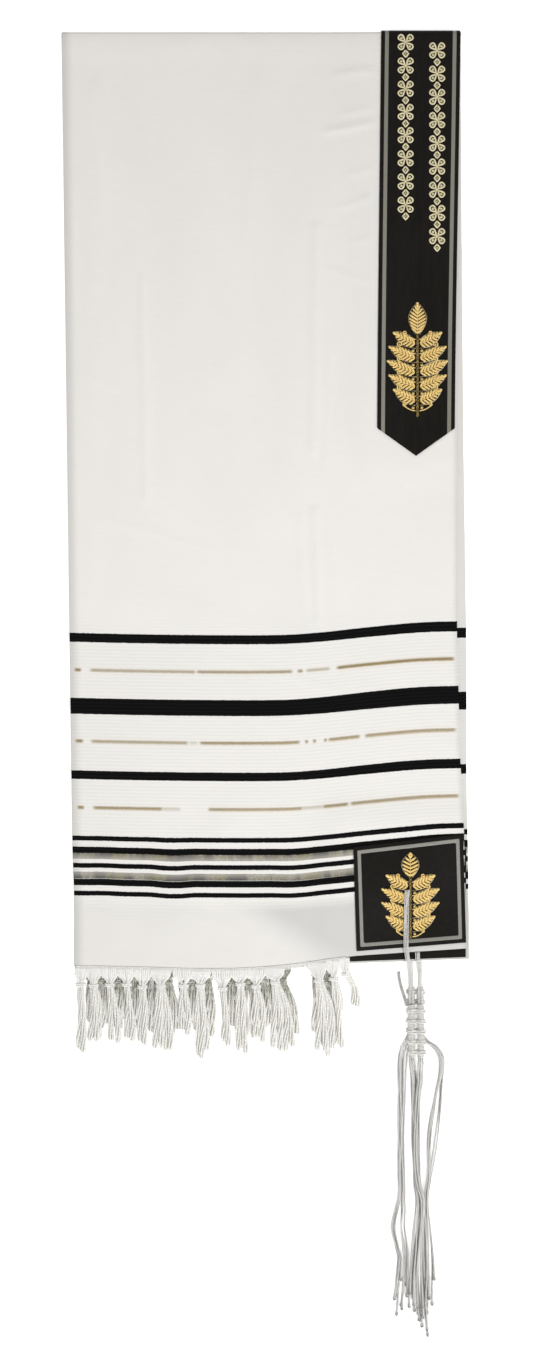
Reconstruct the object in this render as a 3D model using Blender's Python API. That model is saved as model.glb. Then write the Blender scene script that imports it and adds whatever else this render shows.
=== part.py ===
"""A folded prayer shawl lying flat, in metres with +Z up and the top fold towards +Y.

The cloth is folded lengthwise, with its fold at the left, and then crosswise, with its fold at the top,
so four layers lie on each other. Sizes below are millimetres: x runs right from the left fold,
v runs down from the top fold, and z is the height over the floor.
"""

import math

import bmesh
import bpy
from mathutils import Vector

MM = 0.001

# Body cloth
CLOTH = 1.1
GAP = 0.35
LEFT_EDGE = ((0, 0.0), (291, 3.9), (587, 7.8), (793, 10.7), (841, 12.2), (915, 12.2))
RIGHT_EDGE = (
    (0, 389.0),
    (388, 385.1),
    (593, 385.1),
    (652, 386.6),
    (710, 388.0),
    (782, 391.4),
    (889, 394.3),
    (915, 394.6),
)
INNER_RIGHT_EDGE = (
    (0, 387.5),
    (388, 390.5),
    (593, 393.4),
    (724, 393.6),
    (798, 394.8),
    (886, 396.0),
    (915, 396.0),
)
BACK_RIGHT_EDGE = ((0, 389.0), (500, 386.0), (915, 392.0))
HEM = 911.0
INNER_HEM = ((0, 907.0), (213, 908.0), (278, 908.8), (396, 904.5))
BACK_HEM = ((0, 905.0), (396, 901.0))
# How far the front panel is pulled up at its stripes, and at its hem, by x
STRIPE_RISE = (
    (0, 0.0),
    (60, -1.4),
    (130, -2.4),
    (213, -2.4),
    (252, 0.0),
    (300, 5.0),
    (349, 9.3),
    (396, 10.7),
)
HEM_RISE = ((0, 0.0), (60, -1.0), (147, -3.0), (213, 0.0), (275, 8.6), (290, 10.5), (396, 19.3))
RISE_FROM, RISE_FULL, LAST_STRIPE = 60.0, 560.0, 845.0
LIP = 10.0
INNER_START_X, INNER_START_V = 12.6, 7.5
LAYER_GROOVE = 12.0
TOP_PUFF, TOP_PUFF_REACH = 1.4, 34.0
HIDDEN_SWELL = 0.8
# Soft folds of the front panel: from (x, v) to (x, v), width and height
CREASES = (
    (30, 60, 18, 560, 22, 0.7),
    (120, 20, 150, 330, 46, 0.9),
    (245, 90, 215, 470, 40, 0.8),
    (60, 560, 250, 600, 34, 0.6),
    (90, 905, 170, 760, 38, 0.9),
    (262, 905, 178, 842, 26, 1.5),
    (40, 800, 60, 905, 26, 0.8),
)

# Neckband
BAND = 1.0
BAND_WIDTH, BAND_TAPER = 78.0, 1.6
BAND_INSET = 0.6
BAND_SHOULDER, BAND_POINT = 386.6, 413.9

# Corner patches: corners from the upper left, clockwise
PATCH = 1.0
FRONT_PATCH = ((284.7, 795.1), (391.0, 782.4), (393.8, 888.7), (288.6, 898.5))
INNER_PATCH = ((279.8, 804.0), (394.2, 797.0), (393.6, 902.4), (278.6, 906.8))
BACK_PATCH = ((284.0, 790.0), (389.5, 786.0), (390.5, 893.0), (286.0, 896.0))

# Soft ramps of the cloth round the neckband and the patches
RAMP = 39.0
NECKBAND_RAMP_X, NECKBAND_RAMP_V = 265.0, 416.0
CORNER_RAMP_X, CORNER_RAMP_V = 237.0, 738.0

# Raised leaf sprigs: centre x, centre v, width, height, pairs of leaves
EMBLEM_RISE = 1.2
NECKBAND_SPRIG = (346.5, 320.0, 60.0, 112.0, 5)
CORNER_SPRIG = (339.5, 843.0, 58.0, 86.0, 4)
EYELET = (334.5, 837.0)
EYELET_RADIUS = 1.7

# Fringe locks: x of the root, x of the tip, length and width
LOCKS = (
    (17.0, 17.4, 85.4, 7.5),
    (30.2, 32.8, 74.9, 12.0),
    (45.8, 49.6, 76.7, 11.0),
    (62.4, 64.9, 74.0, 10.0),
    (78.0, 79.0, 78.5, 10.0),
    (95.6, 99.1, 83.0, 17.0),
    (118.0, 121.4, 65.0, 9.0),
    (134.6, 137.5, 88.0, 14.0),
    (156.0, 160.9, 76.0, 8.0),
    (173.6, 176.3, 85.0, 11.0),
    (188.6, 192.2, 74.0, 9.0),
    (206.5, 213.5, 84.0, 20.0),
    (249.6, 255.4, 95.0, 18.0),
    (264.0, 272.0, 88.0, 9.0),
    (275.5, 286.0, 50.0, 6.0),
)
HEADING = 4.0
FRONT_HEADING_LEFT, HIDDEN_HEADING_LEFT, HEADING_RIGHT = 12.4, 25.5, 279.0
# A lock's outline: share of its length, share of its width, thickness
LOCK_SHAPE = (
    (0.06, 0.62, 1.2),
    (0.15, 0.40, 1.9),
    (0.22, 0.42, 2.0),
    (0.42, 0.80, 1.5),
    (0.72, 1.0, 1.3),
    (0.93, 0.86, 1.0),
    (1.0, 0.5, 0.8),
)

# Tzitzit: a flat cord, then five knots with windings between them, then eight strands in two rows
CORD_HALF_WIDTH, CORD_HALF_HEIGHT = 2.1, 0.9
KNOTS, KNOT_WIDER, KNOT_HIGHER = 5, 1.0, 0.6
WINDING_WIDER, WINDING_HIGHER, WINDING_START = 0.4, 1.0, 8.0
RING_SIDES = 12
STRAND, STRAND_TIP = 1.05, 0.84
STRAND_PITCH = 1.35
STRAND_COLUMNS = 4
TASSEL_END = 1273.8
TIP_SHARES_ODD = (0.90, 0.97, 1.0, 0.95, 0.92, 0.98, 0.90, 0.94)
TIP_SHARES_EVEN = (0.93, 1.0, 0.97, 0.90, 0.95, 0.88, 0.98, 0.94)

# Routes of the cords and of the strands below them, in rows of x, v and z
FRONT_CORD = (
    (336.6, 836.5, 12.3),
    (335.6, 852.0, 12.3),
    (335.2, 885.0, 12.3),
    (336.2, 899.0, 12.0),
    (338.4, 912.0, 10.1),
    (340.0, 930.0, 8.6),
    (340.6, 949.0, 8.4),
    (340.8, 974.0, 8.4),
    (341.2, 1000.0, 5.4),
)
FRONT_STRANDS = (
    (341.6, 1006.0, 2.6),
    (343.2, 1022.0, 0.2),
    (343.6, 1042.0, 0.2),
    (343.6, 1091.0, 0.2),
    (344.0, 1137.0, 0.2),
    (346.6, 1159.0, 0.2),
    (343.6, 1198.0, 0.2),
    (340.6, 1260.5, 0.2),
)
INNER_FRONT_CORD = (
    (346.6, 897.0, 7.95),
    (347.0, 908.0, 7.95),
    (348.8, 920.0, 8.4),
    (349.4, 949.0, 8.4),
    (349.8, 974.0, 8.4),
    (350.0, 1000.0, 5.4),
)
INNER_FRONT_STRANDS = (
    (349.8, 1006.0, 2.6),
    (349.8, 1022.0, 0.2),
    (349.6, 1042.0, 0.2),
    (349.6, 1091.0, 0.2),
    (350.0, 1137.0, 0.2),
    (352.6, 1159.0, 0.2),
    (351.6, 1198.0, 0.2),
    (352.0, TASSEL_END, 0.2),
)
INNER_BACK_CORD = (
    (349.0, 907.0, 3.4),
    (349.4, 925.0, 2.75),
    (349.6, 949.0, 2.75),
    (350.2, 979.0, 2.75),
)
INNER_BACK_STRANDS = (
    (355.0, 985.0, 1.1),
    (365.0, 992.0, 0.2),
    (371.0, 1006.0, 0.2),
    (365.8, 1039.0, 0.2),
    (361.0, 1070.0, 0.2),
    (359.0, 1112.0, 0.2),
    (358.6, 1159.0, 0.2),
    (359.4, 1198.0, 0.2),
    (361.6, 1252.0, 0.2),
)
BACK_CORD = (
    (340.0, 904.0, 1.6),
    (340.4, 925.0, 2.75),
    (340.6, 949.0, 2.75),
    (340.2, 979.0, 2.75),
)
BACK_STRANDS = (
    (337.0, 985.0, 1.1),
    (334.0, 992.0, 0.2),
    (331.8, 1010.0, 0.2),
    (331.2, 1062.0, 0.2),
    (331.4, 1124.0, 0.2),
    (330.0, 1145.0, 0.2),
    (327.6, 1166.0, 0.2),
    (331.0, 1186.0, 0.2),
    (332.6, 1202.0, 0.2),
    (328.6, 1253.4, 0.2),
)

# The middle of the whole object's box
CENTRE_X = 198.0
CENTRE_V = (TASSEL_END - GAP - BAND) / 2

WHITE = ((0.79, 0.77, 0.72, 1.0), 0.85, 0.0)
BLACK = ((0.012, 0.011, 0.012, 1.0), 0.45, 0.0)
GOLD = ((0.68, 0.42, 0.12, 1.0), 0.42, 0.6)
YARN = ((0.76, 0.75, 0.73, 1.0), 0.7, 0.0)


def smooth(t):
    t = min(max(t, 0.0), 1.0)
    return t * t * (3.0 - 2.0 * t)


def mix(a, b, t):
    return a + (b - a) * t


def read(table, at):
    """The second column of a table at a value of its first one, on a smooth curve through the rows."""
    at = min(max(at, table[0][0]), table[-1][0])
    i = max(k for k in range(len(table) - 1) if table[k][0] <= at)
    (x0, y0), (x1, y1) = table[i], table[i + 1]
    slope = (y1 - y0) / (x1 - x0)
    before = slope if i == 0 else (y1 - table[i - 1][1]) / (x1 - table[i - 1][0])
    after = slope if i + 2 == len(table) else (table[i + 2][1] - y0) / (table[i + 2][0] - x0)
    t = (at - x0) / (x1 - x0)
    step = x1 - x0
    return (
        y0 * (1 + 2 * t) * (1 - t) ** 2
        + y1 * t * t * (3 - 2 * t)
        + before * step * t * (1 - t) ** 2
        - after * step * t * t * (1 - t)
    )


def spread(*stretches):
    """Stations along a line, from stretches of (end, count) after the first value."""
    stations = [float(stretches[0])]
    for end, count in stretches[1:]:
        start = stations[-1]
        stations += [mix(start, end, (k + 1) / count) for k in range(count)]
    return stations


def place(x, v, z):
    return Vector(((x - CENTRE_X) * MM, (CENTRE_V - v) * MM, z * MM))


def neckband_zone(x, v):
    """1 where the neckband lies, falling to 0 over a soft ramp round it."""
    return smooth((x - NECKBAND_RAMP_X) / RAMP) * (1.0 - smooth((v - NECKBAND_RAMP_V) / RAMP))


def corner_zone(x, v):
    """1 where the corner patches lie, falling to 0 over a soft ramp round them."""
    return smooth((x - CORNER_RAMP_X) / RAMP) * smooth((v - CORNER_RAMP_V) / RAMP)


def crease_height(x, v):
    total = 0.0
    for x0, v0, x1, v1, width, height in CREASES:
        run = (x1 - x0) ** 2 + (v1 - v0) ** 2
        t = min(max(((x - x0) * (x1 - x0) + (v - v0) * (v1 - v0)) / run, 0.0), 1.0)
        away = math.hypot(x - mix(x0, x1, t), v - mix(v0, v1, t)) / width
        total = max(total, height * smooth(1.0 - away))
    return total


def swell(x, v):
    """How far the front panel stands off the layers below it."""
    open_cloth = 1.0 - max(neckband_zone(x, v), corner_zone(x, v))
    flat_at_edges = smooth((HEM - 4.0 - v) / 40.0) * smooth((x - 13.0) / 30.0)
    puff = TOP_PUFF * (1.0 - smooth(v / TOP_PUFF_REACH))
    return crease_height(x, v) * open_cloth * flat_at_edges + puff


def floor_lift(x, v):
    """The underside panel rides over the neckband and patch below it."""
    return (BAND + GAP) * max(neckband_zone(x, v), corner_zone(x, v))


def back_middle(x, v):
    return floor_lift(x, v) + CLOTH / 2


def inner_bottom(x, v):
    return floor_lift(x, v) + CLOTH + GAP


def inner_top(x, v):
    return inner_bottom(x, v) + 2 * CLOTH + GAP + swell(x, v) * HIDDEN_SWELL


def front_middle(x, v):
    level = inner_bottom(x, v) + 2 * CLOTH + GAP + swell(x, v)
    return level + GAP + CLOTH / 2 + (PATCH + GAP) * corner_zone(x, v)


def front_top(x, v):
    return front_middle(x, v) + CLOTH / 2


def front_row(x, v):
    """Where a straight weft thread of the front panel lies once that panel is pulled up at the right."""
    stripe = read(STRIPE_RISE, x)
    hem = read(HEM_RISE, x)
    low = smooth((v - LAST_STRIPE) / (HEM - LAST_STRIPE))
    return v - stripe * smooth((v - RISE_FROM) / (RISE_FULL - RISE_FROM)) - (hem - stripe) * low


def back_row(x, v):
    return v * read(BACK_HEM, x) / HEM


def material_of(name, look):
    colour, roughness, metallic = look
    material = bpy.data.materials.new(name)
    material.use_nodes = True
    shader = material.node_tree.nodes["Principled BSDF"]
    shader.inputs["Base Color"].default_value = colour
    shader.inputs["Roughness"].default_value = roughness
    shader.inputs["Metallic"].default_value = metallic
    material.diffuse_color = colour
    return material


def object_of(name, bm, look):
    bmesh.ops.recalc_face_normals(bm, faces=bm.faces)
    mesh = bpy.data.meshes.new(name)
    bm.to_mesh(mesh)
    bm.free()
    mesh.shade_smooth()
    mesh.set_sharp_from_angle(angle=math.radians(40))
    mesh.materials.append(material_of(name, look))
    obj = bpy.data.objects.new(name, mesh)
    bpy.context.collection.objects.link(obj)
    return obj


def wall(name, upper, lower, look):
    """A closed wall between two grids of points with the same rows and columns."""
    bm = bmesh.new()
    rows, columns = len(upper), len(upper[0])
    grids = [[[bm.verts.new(point) for point in row] for row in grid] for grid in (upper, lower)]
    for grid in grids:
        for r in range(rows - 1):
            for c in range(columns - 1):
                a, b = grid[r][c], grid[r][c + 1]
                d, e = grid[r + 1][c + 1], grid[r + 1][c]
                bm.faces.new((a, b, d))
                bm.faces.new((a, d, e))
    rim = [(0, c) for c in range(columns)]
    rim += [(r, columns - 1) for r in range(1, rows)]
    rim += [(rows - 1, c) for c in reversed(range(columns - 1))]
    rim += [(r, 0) for r in reversed(range(1, rows - 1))]
    for (r0, c0), (r1, c1) in zip(rim, rim[1:] + rim[:1]):
        bm.faces.new((grids[0][r0][c0], grids[0][r1][c1], grids[1][r1][c1], grids[1][r0][c0]))
    return object_of(name, bm, look)


def fold_path(x, v, depth, side):
    """A point of the outer half: side is front or back, or an angle round the top fold.

    depth is how far inward the point lies from the middle of the wall.
    """
    if side == "front":
        at = front_row(x, v)
        return place(x, at, front_middle(x, at) - depth)
    if side == "back":
        at = back_row(x, v)
        return place(x, at, back_middle(x, at) + depth)
    start = 0.0
    high, low = front_middle(x, start), back_middle(x, start)
    radius = (high - low) / 2
    reach = (radius - depth) * math.cos(side)
    return place(x, radius + CLOTH / 2 - reach, (high + low) / 2 + (radius - depth) * math.sin(side))


FOLD_TURN = [math.radians(90 - 180 * k / 8) for k in range(9)]
PANEL_COLUMNS = spread(0, (232, 9), (312, 7), (392, 3))
FRONT_ROWS = spread(HEM, (790, 7), (734, 5), (470, 9), (410, 5), (20, 13), (8, 1))
BACK_ROWS = spread(8, (20, 1), (410, 3), (470, 5), (734, 3), (790, 5), (HEM, 2))
FOLD_ROW_V = 4.0


def path_rows():
    rows = [(v, "front") for v in FRONT_ROWS]
    rows += [(FOLD_ROW_V, angle) for angle in FOLD_TURN]
    rows += [(v, "back") for v in BACK_ROWS]
    return rows


def outer_half():
    """Front panel, top fold and underside panel in one wall, with its left edge turned in."""
    bend = (CLOTH + GAP) / 2
    grids = []
    for offset in (-CLOTH / 2, CLOTH / 2):
        grid = []
        for v, side in path_rows():
            edge = RIGHT_EDGE if side != "back" else BACK_RIGHT_EDGE
            left = read(LEFT_EDGE, v) + bend + CLOTH / 2
            right = read(edge, v)
            last = PANEL_COLUMNS[-1]
            row = [(mix(left, right, c / last), offset) for c in reversed(PANEL_COLUMNS)]
            for k in range(1, 5):
                angle, radius = math.pi * k / 4, bend - offset
                row.append((left - radius * math.sin(angle), bend - radius * math.cos(angle)))
            row += [(left + LIP * share, 2 * bend - offset) for share in (0.5, 1.0)]
            grid.append([fold_path(x, v, depth, side) for x, depth in row])
        grids.append(grid)
    return wall("shawl_outer_half", grids[0], grids[1], WHITE)


def inner_grid(left_in, right_out, low_out, height):
    """Points over the hidden layers, from left_in past their left edge to right_out past the right one."""
    grid = []
    share_rows = spread(0, (0.03, 1), (0.44, 12), (0.51, 5), (0.80, 9), (0.87, 5), (1, 6))
    share_columns = spread(0, (0.57, 8), (0.78, 7), (1, 3))
    for s in share_rows:
        v_edge = mix(INNER_START_V, HEM, s)
        left = read(LEFT_EDGE, v_edge) + INNER_START_X + left_in
        right = read(INNER_RIGHT_EDGE, v_edge) + right_out
        row = []
        for t in share_columns:
            x = mix(left, right, t)
            v = mix(INNER_START_V, read(INNER_HEM, x) + low_out, s)
            row.append(place(x, v, height(x, v)))
        grid.append(row)
    return grid


def groove_cutter(name, columns, rows):
    """A thin wall that parts the two hidden layers along an edge."""
    grids = []
    for half in (GAP / 2, -GAP / 2):
        grid = []
        for v_share in rows:
            v_edge = mix(INNER_START_V - 4, HEM, v_share)
            row = []
            for x_share in columns:
                x = x_share(read(LEFT_EDGE, v_edge), read(INNER_RIGHT_EDGE, v_edge))
                v = mix(INNER_START_V - 4, read(INNER_HEM, x) + 4, v_share)
                middle = (inner_bottom(x, v) + inner_top(x, v)) / 2
                row.append(place(x, v, middle + half))
            grid.append(row)
        grids.append(grid)
    cutter = wall(name, grids[0], grids[1], WHITE)
    cutter.hide_render = True
    cutter.display_type = "WIRE"
    return cutter


def inner_half():
    """The two hidden layers as one solid, with a groove between them at the right and at the hem."""
    upper = inner_grid(0, 0, 0, inner_top)
    lower = inner_grid(0, 0, 0, inner_bottom)
    solid = wall("shawl_inner_half", upper, lower, WHITE)
    side = [lambda left, right: right - LAYER_GROOVE, lambda left, right: right + 4]
    across = [lambda left, right, t=t: mix(left + 2, right + 4, t) for t in spread(0, (1, 24))]
    cutters = (
        groove_cutter("groove_right", side, spread(0, (1, 44))),
        groove_cutter("groove_hem", across, [1.0 - LAYER_GROOVE / HEM, 1.0]),
    )
    for cutter in cutters:
        cut = solid.modifiers.new(cutter.name, "BOOLEAN")
        cut.operation = "DIFFERENCE"
        cut.object = cutter
    return solid


def band_edges(v):
    right = read(RIGHT_EDGE, v) - BAND_INSET - BAND_TAPER * smooth(v / BAND_SHOULDER)
    return right - BAND_WIDTH + BAND_TAPER * smooth(v / BAND_SHOULDER), right


def neckband():
    """One band over the top fold, pointed at both ends, on the outer half's own points moved out."""
    down = spread(BAND_POINT, (BAND_SHOULDER, 1), (20, 17), (8, 1))
    rows = [(v, "front") for v in down]
    rows += [(FOLD_ROW_V, angle) for angle in FOLD_TURN]
    rows += [(v, "back") for v in reversed(down)]
    grids = []
    for depth in (-CLOTH / 2 - GAP - BAND, -CLOTH / 2 - GAP):
        grid = []
        for v, side in rows:
            left, right = band_edges(min(v, BAND_SHOULDER))
            row = []
            for t in spread(0, (1, 6)):
                x = mix(left, right, t)
                at = v
                if v == BAND_POINT:
                    at = mix(BAND_POINT, BAND_SHOULDER + 0.4, abs(2 * t - 1))
                if side == "front":
                    row.append(place(x, at, front_middle(x, at) - depth))
                elif side == "back":
                    row.append(place(x, at, back_middle(x, at) + depth))
                else:
                    row.append(fold_path(x, at, depth, side))
            grid.append(row)
        grids.append(grid)
    return wall("neckband", grids[0], grids[1], BLACK)


def patch(name, corners, height, thickness):
    """A flat patch between four corners, on a panel's surface moved out."""
    upper_left, upper_right, lower_right, lower_left = corners
    grids = []
    for level in (thickness, 0.0):
        grid = []
        for s in spread(0, (1, 3)):
            row = []
            for t in spread(0, (1, 3)):
                x = mix(mix(upper_left[0], upper_right[0], t), mix(lower_left[0], lower_right[0], t), s)
                v = mix(mix(upper_left[1], upper_right[1], t), mix(lower_left[1], lower_right[1], t), s)
                row.append(place(x, v, height(x, v) + level))
            grid.append(row)
        grids.append(grid)
    return wall(name, grids[0], grids[1], BLACK)


def leaf_side(base, tip, belly, count):
    """Points of one edge of a leaf, from its base to just before its tip."""
    (x0, v0), (x1, v1) = base, tip
    run = math.hypot(x1 - x0, v1 - v0)
    nx, nv = -(v1 - v0) / run, (x1 - x0) / run
    points = []
    for k in range(count):
        t = k / count
        out = belly * math.sin(math.pi * t)
        points.append((mix(x0, x1, t) + nx * out, mix(v0, v1, t) + nv * out))
    return points


def sprig_outline(centre_x, centre_v, width, height, pairs):
    """A plain sprig: a stem with pairs of pointed leaves and one leaf on top, walked up its right side."""
    stem = width * 0.035
    foot = centre_v + height / 2
    leaf_top = centre_v - height * 0.22
    spacing = (foot - leaf_top - height * 0.10) / pairs
    right = [(stem, foot)]
    for k in range(pairs):
        low = foot - height * 0.10 - spacing * k
        high = low - spacing * 0.60
        reach = width / 2 * (0.74 + 0.26 * math.sin(math.pi * (k + 1) / (pairs + 1)))
        tip = (reach, low - spacing * 1.15)
        right += leaf_side((stem, low), tip, spacing * 0.26, 5)
        right += [tip]
        right += leaf_side((stem, high), tip, -spacing * 0.20, 5)[:0:-1]
        right += [(stem, high)]
    top = (0.0, centre_v - height / 2)
    right += leaf_side((stem, leaf_top), top, width * 0.13, 6)
    left = [(-x, v) for x, v in reversed(right)]
    return [(centre_x + x, v) for x, v in right + [top] + left]


def emblem(name, sprig, base_z):
    bm = bmesh.new()
    face = bm.faces.new([bm.verts.new(place(x, v, base_z)) for x, v in sprig_outline(*sprig)])
    raised = bmesh.ops.extrude_face_region(bm, geom=[face])
    tops = [item for item in raised["geom"] if isinstance(item, bmesh.types.BMVert)]
    bmesh.ops.translate(bm, verts=tops, vec=(0, 0, EMBLEM_RISE * MM))
    return object_of(name, bm, GOLD)


def eyelet_cutter(base_z):
    bm = bmesh.new()
    bmesh.ops.create_cone(
        bm,
        cap_ends=True,
        segments=12,
        radius1=EYELET_RADIUS * MM,
        radius2=EYELET_RADIUS * MM,
        depth=4 * EMBLEM_RISE * MM,
    )
    cutter = object_of("eyelet_cutter", bm, BLACK)
    cutter.location = place(EYELET[0], EYELET[1], base_z + EMBLEM_RISE / 2)
    cutter.hide_render = True
    cutter.display_type = "WIRE"
    return cutter


def frame_at(points, k):
    """Unit vectors to the right of a route and up from it, at its point k."""
    along = (points[min(k + 1, len(points) - 1)] - points[max(k - 1, 0)]).normalized()
    side = Vector((-along.y, along.x, 0.0)).normalized()
    side = -side if side.x < 0 else side
    up = side.cross(along).normalized()
    return side, -up if up.z < 0 else up


def strand(bm, cell, route):
    """A four-sided strand from a root face: route rows are a centre, a half width and a half height."""
    ring = list(cell.verts)
    centre = cell.calc_center_median()
    start = min(range(4), key=lambda k: (ring[k].co - centre).x + (ring[k].co - centre).z)
    ring = ring[start:] + ring[:start]
    if (ring[1].co - centre).x < 0:
        ring = [ring[0]] + ring[:0:-1]
    bm.faces.remove(cell)
    points = [row[0] for row in route]
    for k, (at, half_width, half_height) in enumerate(route):
        side, up = frame_at(points, k)
        corners = ((-1, -1), (1, -1), (1, 1), (-1, 1))
        wide, high = side * (half_width * MM), up * (half_height * MM)
        fresh = [bm.verts.new(at + wide * i + high * j) for i, j in corners]
        for i in range(4):
            j = (i + 1) % 4
            bm.faces.new((ring[i], ring[j], fresh[j], fresh[i]))
        ring = fresh
    bm.faces.new(ring)


def fringe(name, hem_v, hem_z, thickness, start, locks, shorter, tip_z, lock_scale):
    """A heading strip just past a hem, with one four-sided knotted lock for each row of locks.

    start is its left end, shorter and lock_scale shrink the locks, and tip_z is where their tips lie.
    """
    bm = bmesh.new()
    heads = []
    stations = [start]
    for root, tip, length, width in locks:
        half = min(width * 0.31, 4.4)
        heads.append(len(stations))
        stations += [root - half, root + half]
    stations.append(HEADING_RIGHT)
    rings = []
    for x in stations:
        v = hem_v(x) + GAP
        z = hem_z(x, v)
        corners = ((v, -1), (v + HEADING, -1), (v + HEADING, 1), (v, 1))
        rings.append([bm.verts.new(place(x, at, z + level * thickness / 2)) for at, level in corners])
    bm.faces.new(rings[0])
    bm.faces.new(rings[-1])
    cells = []
    for left, right in zip(rings, rings[1:]):
        for i in range(4):
            j = (i + 1) % 4
            face = bm.faces.new((left[i], left[j], right[j], right[i]))
            if i == 1:
                cells.append(face)
    for (root, tip, length, width), head in zip(locks, heads):
        length *= shorter
        v = hem_v(root) + GAP + HEADING
        z = hem_z(root, v)
        route = []
        for share, wide, thick in LOCK_SHAPE:
            x = mix(root, tip, smooth(share * 1.15))
            at = place(x, v + (length - HEADING) * share, mix(z, tip_z, smooth(share * 1.4)))
            route.append((at, width * wide * lock_scale / 2, min(thick, thickness * 1.15) / 2))
        strand(bm, cells[head], route)
    return object_of(name, bm, YARN)


def tzitzit(name, cord, knotted, strands, tip_shares):
    """A cord along its route, wound and knotted over a stretch of v, ending in eight four-sided strands."""
    bm = bmesh.new()
    rings = []
    points = [place(*row) for row in cord]
    knot_from, knot_to = knotted
    for k, (x, v, z) in enumerate(cord):
        side, up = frame_at(points, k)
        wound = smooth((v - knot_from) / WINDING_START)
        knot = math.sin(math.pi * KNOTS * max(v - knot_from, 0.0) / (knot_to - knot_from)) ** 2
        half_width = CORD_HALF_WIDTH + wound * (WINDING_WIDER + KNOT_WIDER * knot)
        half_height = CORD_HALF_HEIGHT + wound * (WINDING_HIGHER + KNOT_HIGHER * knot)
        ring = []
        for step in range(RING_SIDES):
            angle = math.radians(-150) + math.tau * step / RING_SIDES
            out = side * (math.cos(angle) * half_width * MM) + up * (math.sin(angle) * half_height * MM)
            ring.append(bm.verts.new(points[k] + out))
        rings.append(ring)
    bm.faces.new(rings[0])
    for first, second in zip(rings, rings[1:]):
        for i in range(RING_SIDES):
            j = (i + 1) % RING_SIDES
            bm.faces.new((first[i], first[j], second[j], second[i]))
    end = rings[-1]
    bottom, top = end[0:5], end[10:5:-1]
    inner = [bm.verts.new((bottom[i].co + top[i].co) / 2) for i in (1, 2, 3)]
    middle = [end[11]] + inner + [end[5]]
    cells = []
    for low, high in ((bottom, middle), (middle, top)):
        for i in range(STRAND_COLUMNS):
            cells.append(bm.faces.new((low[i], low[i + 1], high[i + 1], high[i])))
    for number, cell in enumerate(cells):
        row, column = divmod(number, STRAND_COLUMNS)
        aside = (column - (STRAND_COLUMNS - 1) / 2) * STRAND_PITCH
        end_v = mix(strands[0][1], strands[-1][1], tip_shares[number])
        route = []
        for x, v, z in strands:
            at = place(x + aside, min(v, end_v), z + STRAND / 2 + row * STRAND_PITCH)
            half = (STRAND if v < end_v else STRAND_TIP) / 2
            route.append((at, half, half))
            if v >= end_v:
                break
        strand(bm, cell, route)
    return object_of(name, bm, YARN)


def curve_rows(rows, count):
    """Evenly spread rows of x, v and z on smooth curves over the length of the given ones."""
    v_of = [(k, row[1]) for k, row in enumerate(rows)]
    x_of = [(k, row[0]) for k, row in enumerate(rows)]
    z_of = [(k, row[2]) for k, row in enumerate(rows)]
    steps = [(len(rows) - 1) * k / count for k in range(count + 1)]
    return [(read(x_of, s), read(v_of, s), read(z_of, s)) for s in steps]


def tassels():
    """The four corners' tzitzit lie two on two, then side by side on the floor."""
    upper = (949.0, 1000.0)
    lower = (932.0, 979.0)
    odd, even = TIP_SHARES_ODD, TIP_SHARES_EVEN
    rows = (
        ("tzitzit_front", FRONT_CORD, 17, upper, FRONT_STRANDS, 10, odd),
        ("tzitzit_inner_front", INNER_FRONT_CORD, 13, upper, INNER_FRONT_STRANDS, 10, odd),
        ("tzitzit_inner_back", INNER_BACK_CORD, 9, lower, INNER_BACK_STRANDS, 11, even),
        ("tzitzit_back", BACK_CORD, 9, lower, BACK_STRANDS, 11, even),
    )
    pieces = []
    for name, cord, cord_steps, knotted, strands, strand_steps, tips in rows:
        cord = curve_rows(cord, cord_steps)
        pieces.append(tzitzit(name, cord, knotted, curve_rows(strands, strand_steps), tips))
    return pieces


def front_hem(x):
    return front_row(x, HEM)


def inner_hem(x):
    return read(INNER_HEM, x)


def back_hem(x):
    return read(BACK_HEM, x)


def hidden_middle(x, v):
    return back_middle(x, v) + (CLOTH + GAP) * 1.5


def fringes():
    """The front panel's fringe lies on the hidden layers' and those on the underside panel's."""
    hidden, start = LOCKS[1:-1], HIDDEN_HEADING_LEFT
    return [
        fringe("fringe_front", front_hem, front_middle, CLOTH, FRONT_HEADING_LEFT, LOCKS, 1.0, 3.4, 1.0),
        fringe("fringe_inner", inner_hem, hidden_middle, CLOTH, start, hidden, 0.86, 2.0, 0.8),
        fringe("fringe_back", back_hem, back_middle, 1.0, start, hidden, 0.8, 0.65, 0.7),
    ]


def build():
    for old in list(bpy.data.objects):
        bpy.data.objects.remove(old)
    shawl = bpy.data.objects.new("shawl", None)
    bpy.context.collection.objects.link(shawl)
    pieces = [outer_half(), inner_half(), neckband()]
    pieces.append(patch("corner_patch_front", FRONT_PATCH, lambda x, v: front_top(x, v) + GAP, PATCH))
    pieces.append(patch("corner_patch_inner", INNER_PATCH, lambda x, v: inner_top(x, v) + GAP, PATCH))
    pieces.append(patch("corner_patch_back", BACK_PATCH, lambda x, v: 0.0, PATCH))
    band_top = front_top(NECKBAND_SPRIG[0], NECKBAND_SPRIG[1]) + GAP + BAND
    pieces.append(emblem("neckband_emblem", NECKBAND_SPRIG, band_top + GAP))
    patch_top = front_top(CORNER_SPRIG[0], CORNER_SPRIG[1]) + GAP + PATCH
    corner = emblem("corner_emblem", CORNER_SPRIG, patch_top + GAP)
    cut = corner.modifiers.new("eyelet", "BOOLEAN")
    cut.operation = "DIFFERENCE"
    cut.object = eyelet_cutter(patch_top + GAP)
    pieces.append(corner)
    pieces += fringes()
    pieces += tassels()
    for piece in pieces:
        piece.parent = shawl


build()
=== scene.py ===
import math
import random

import bmesh
import bpy
import numpy as np
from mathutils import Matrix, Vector, noise


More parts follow.
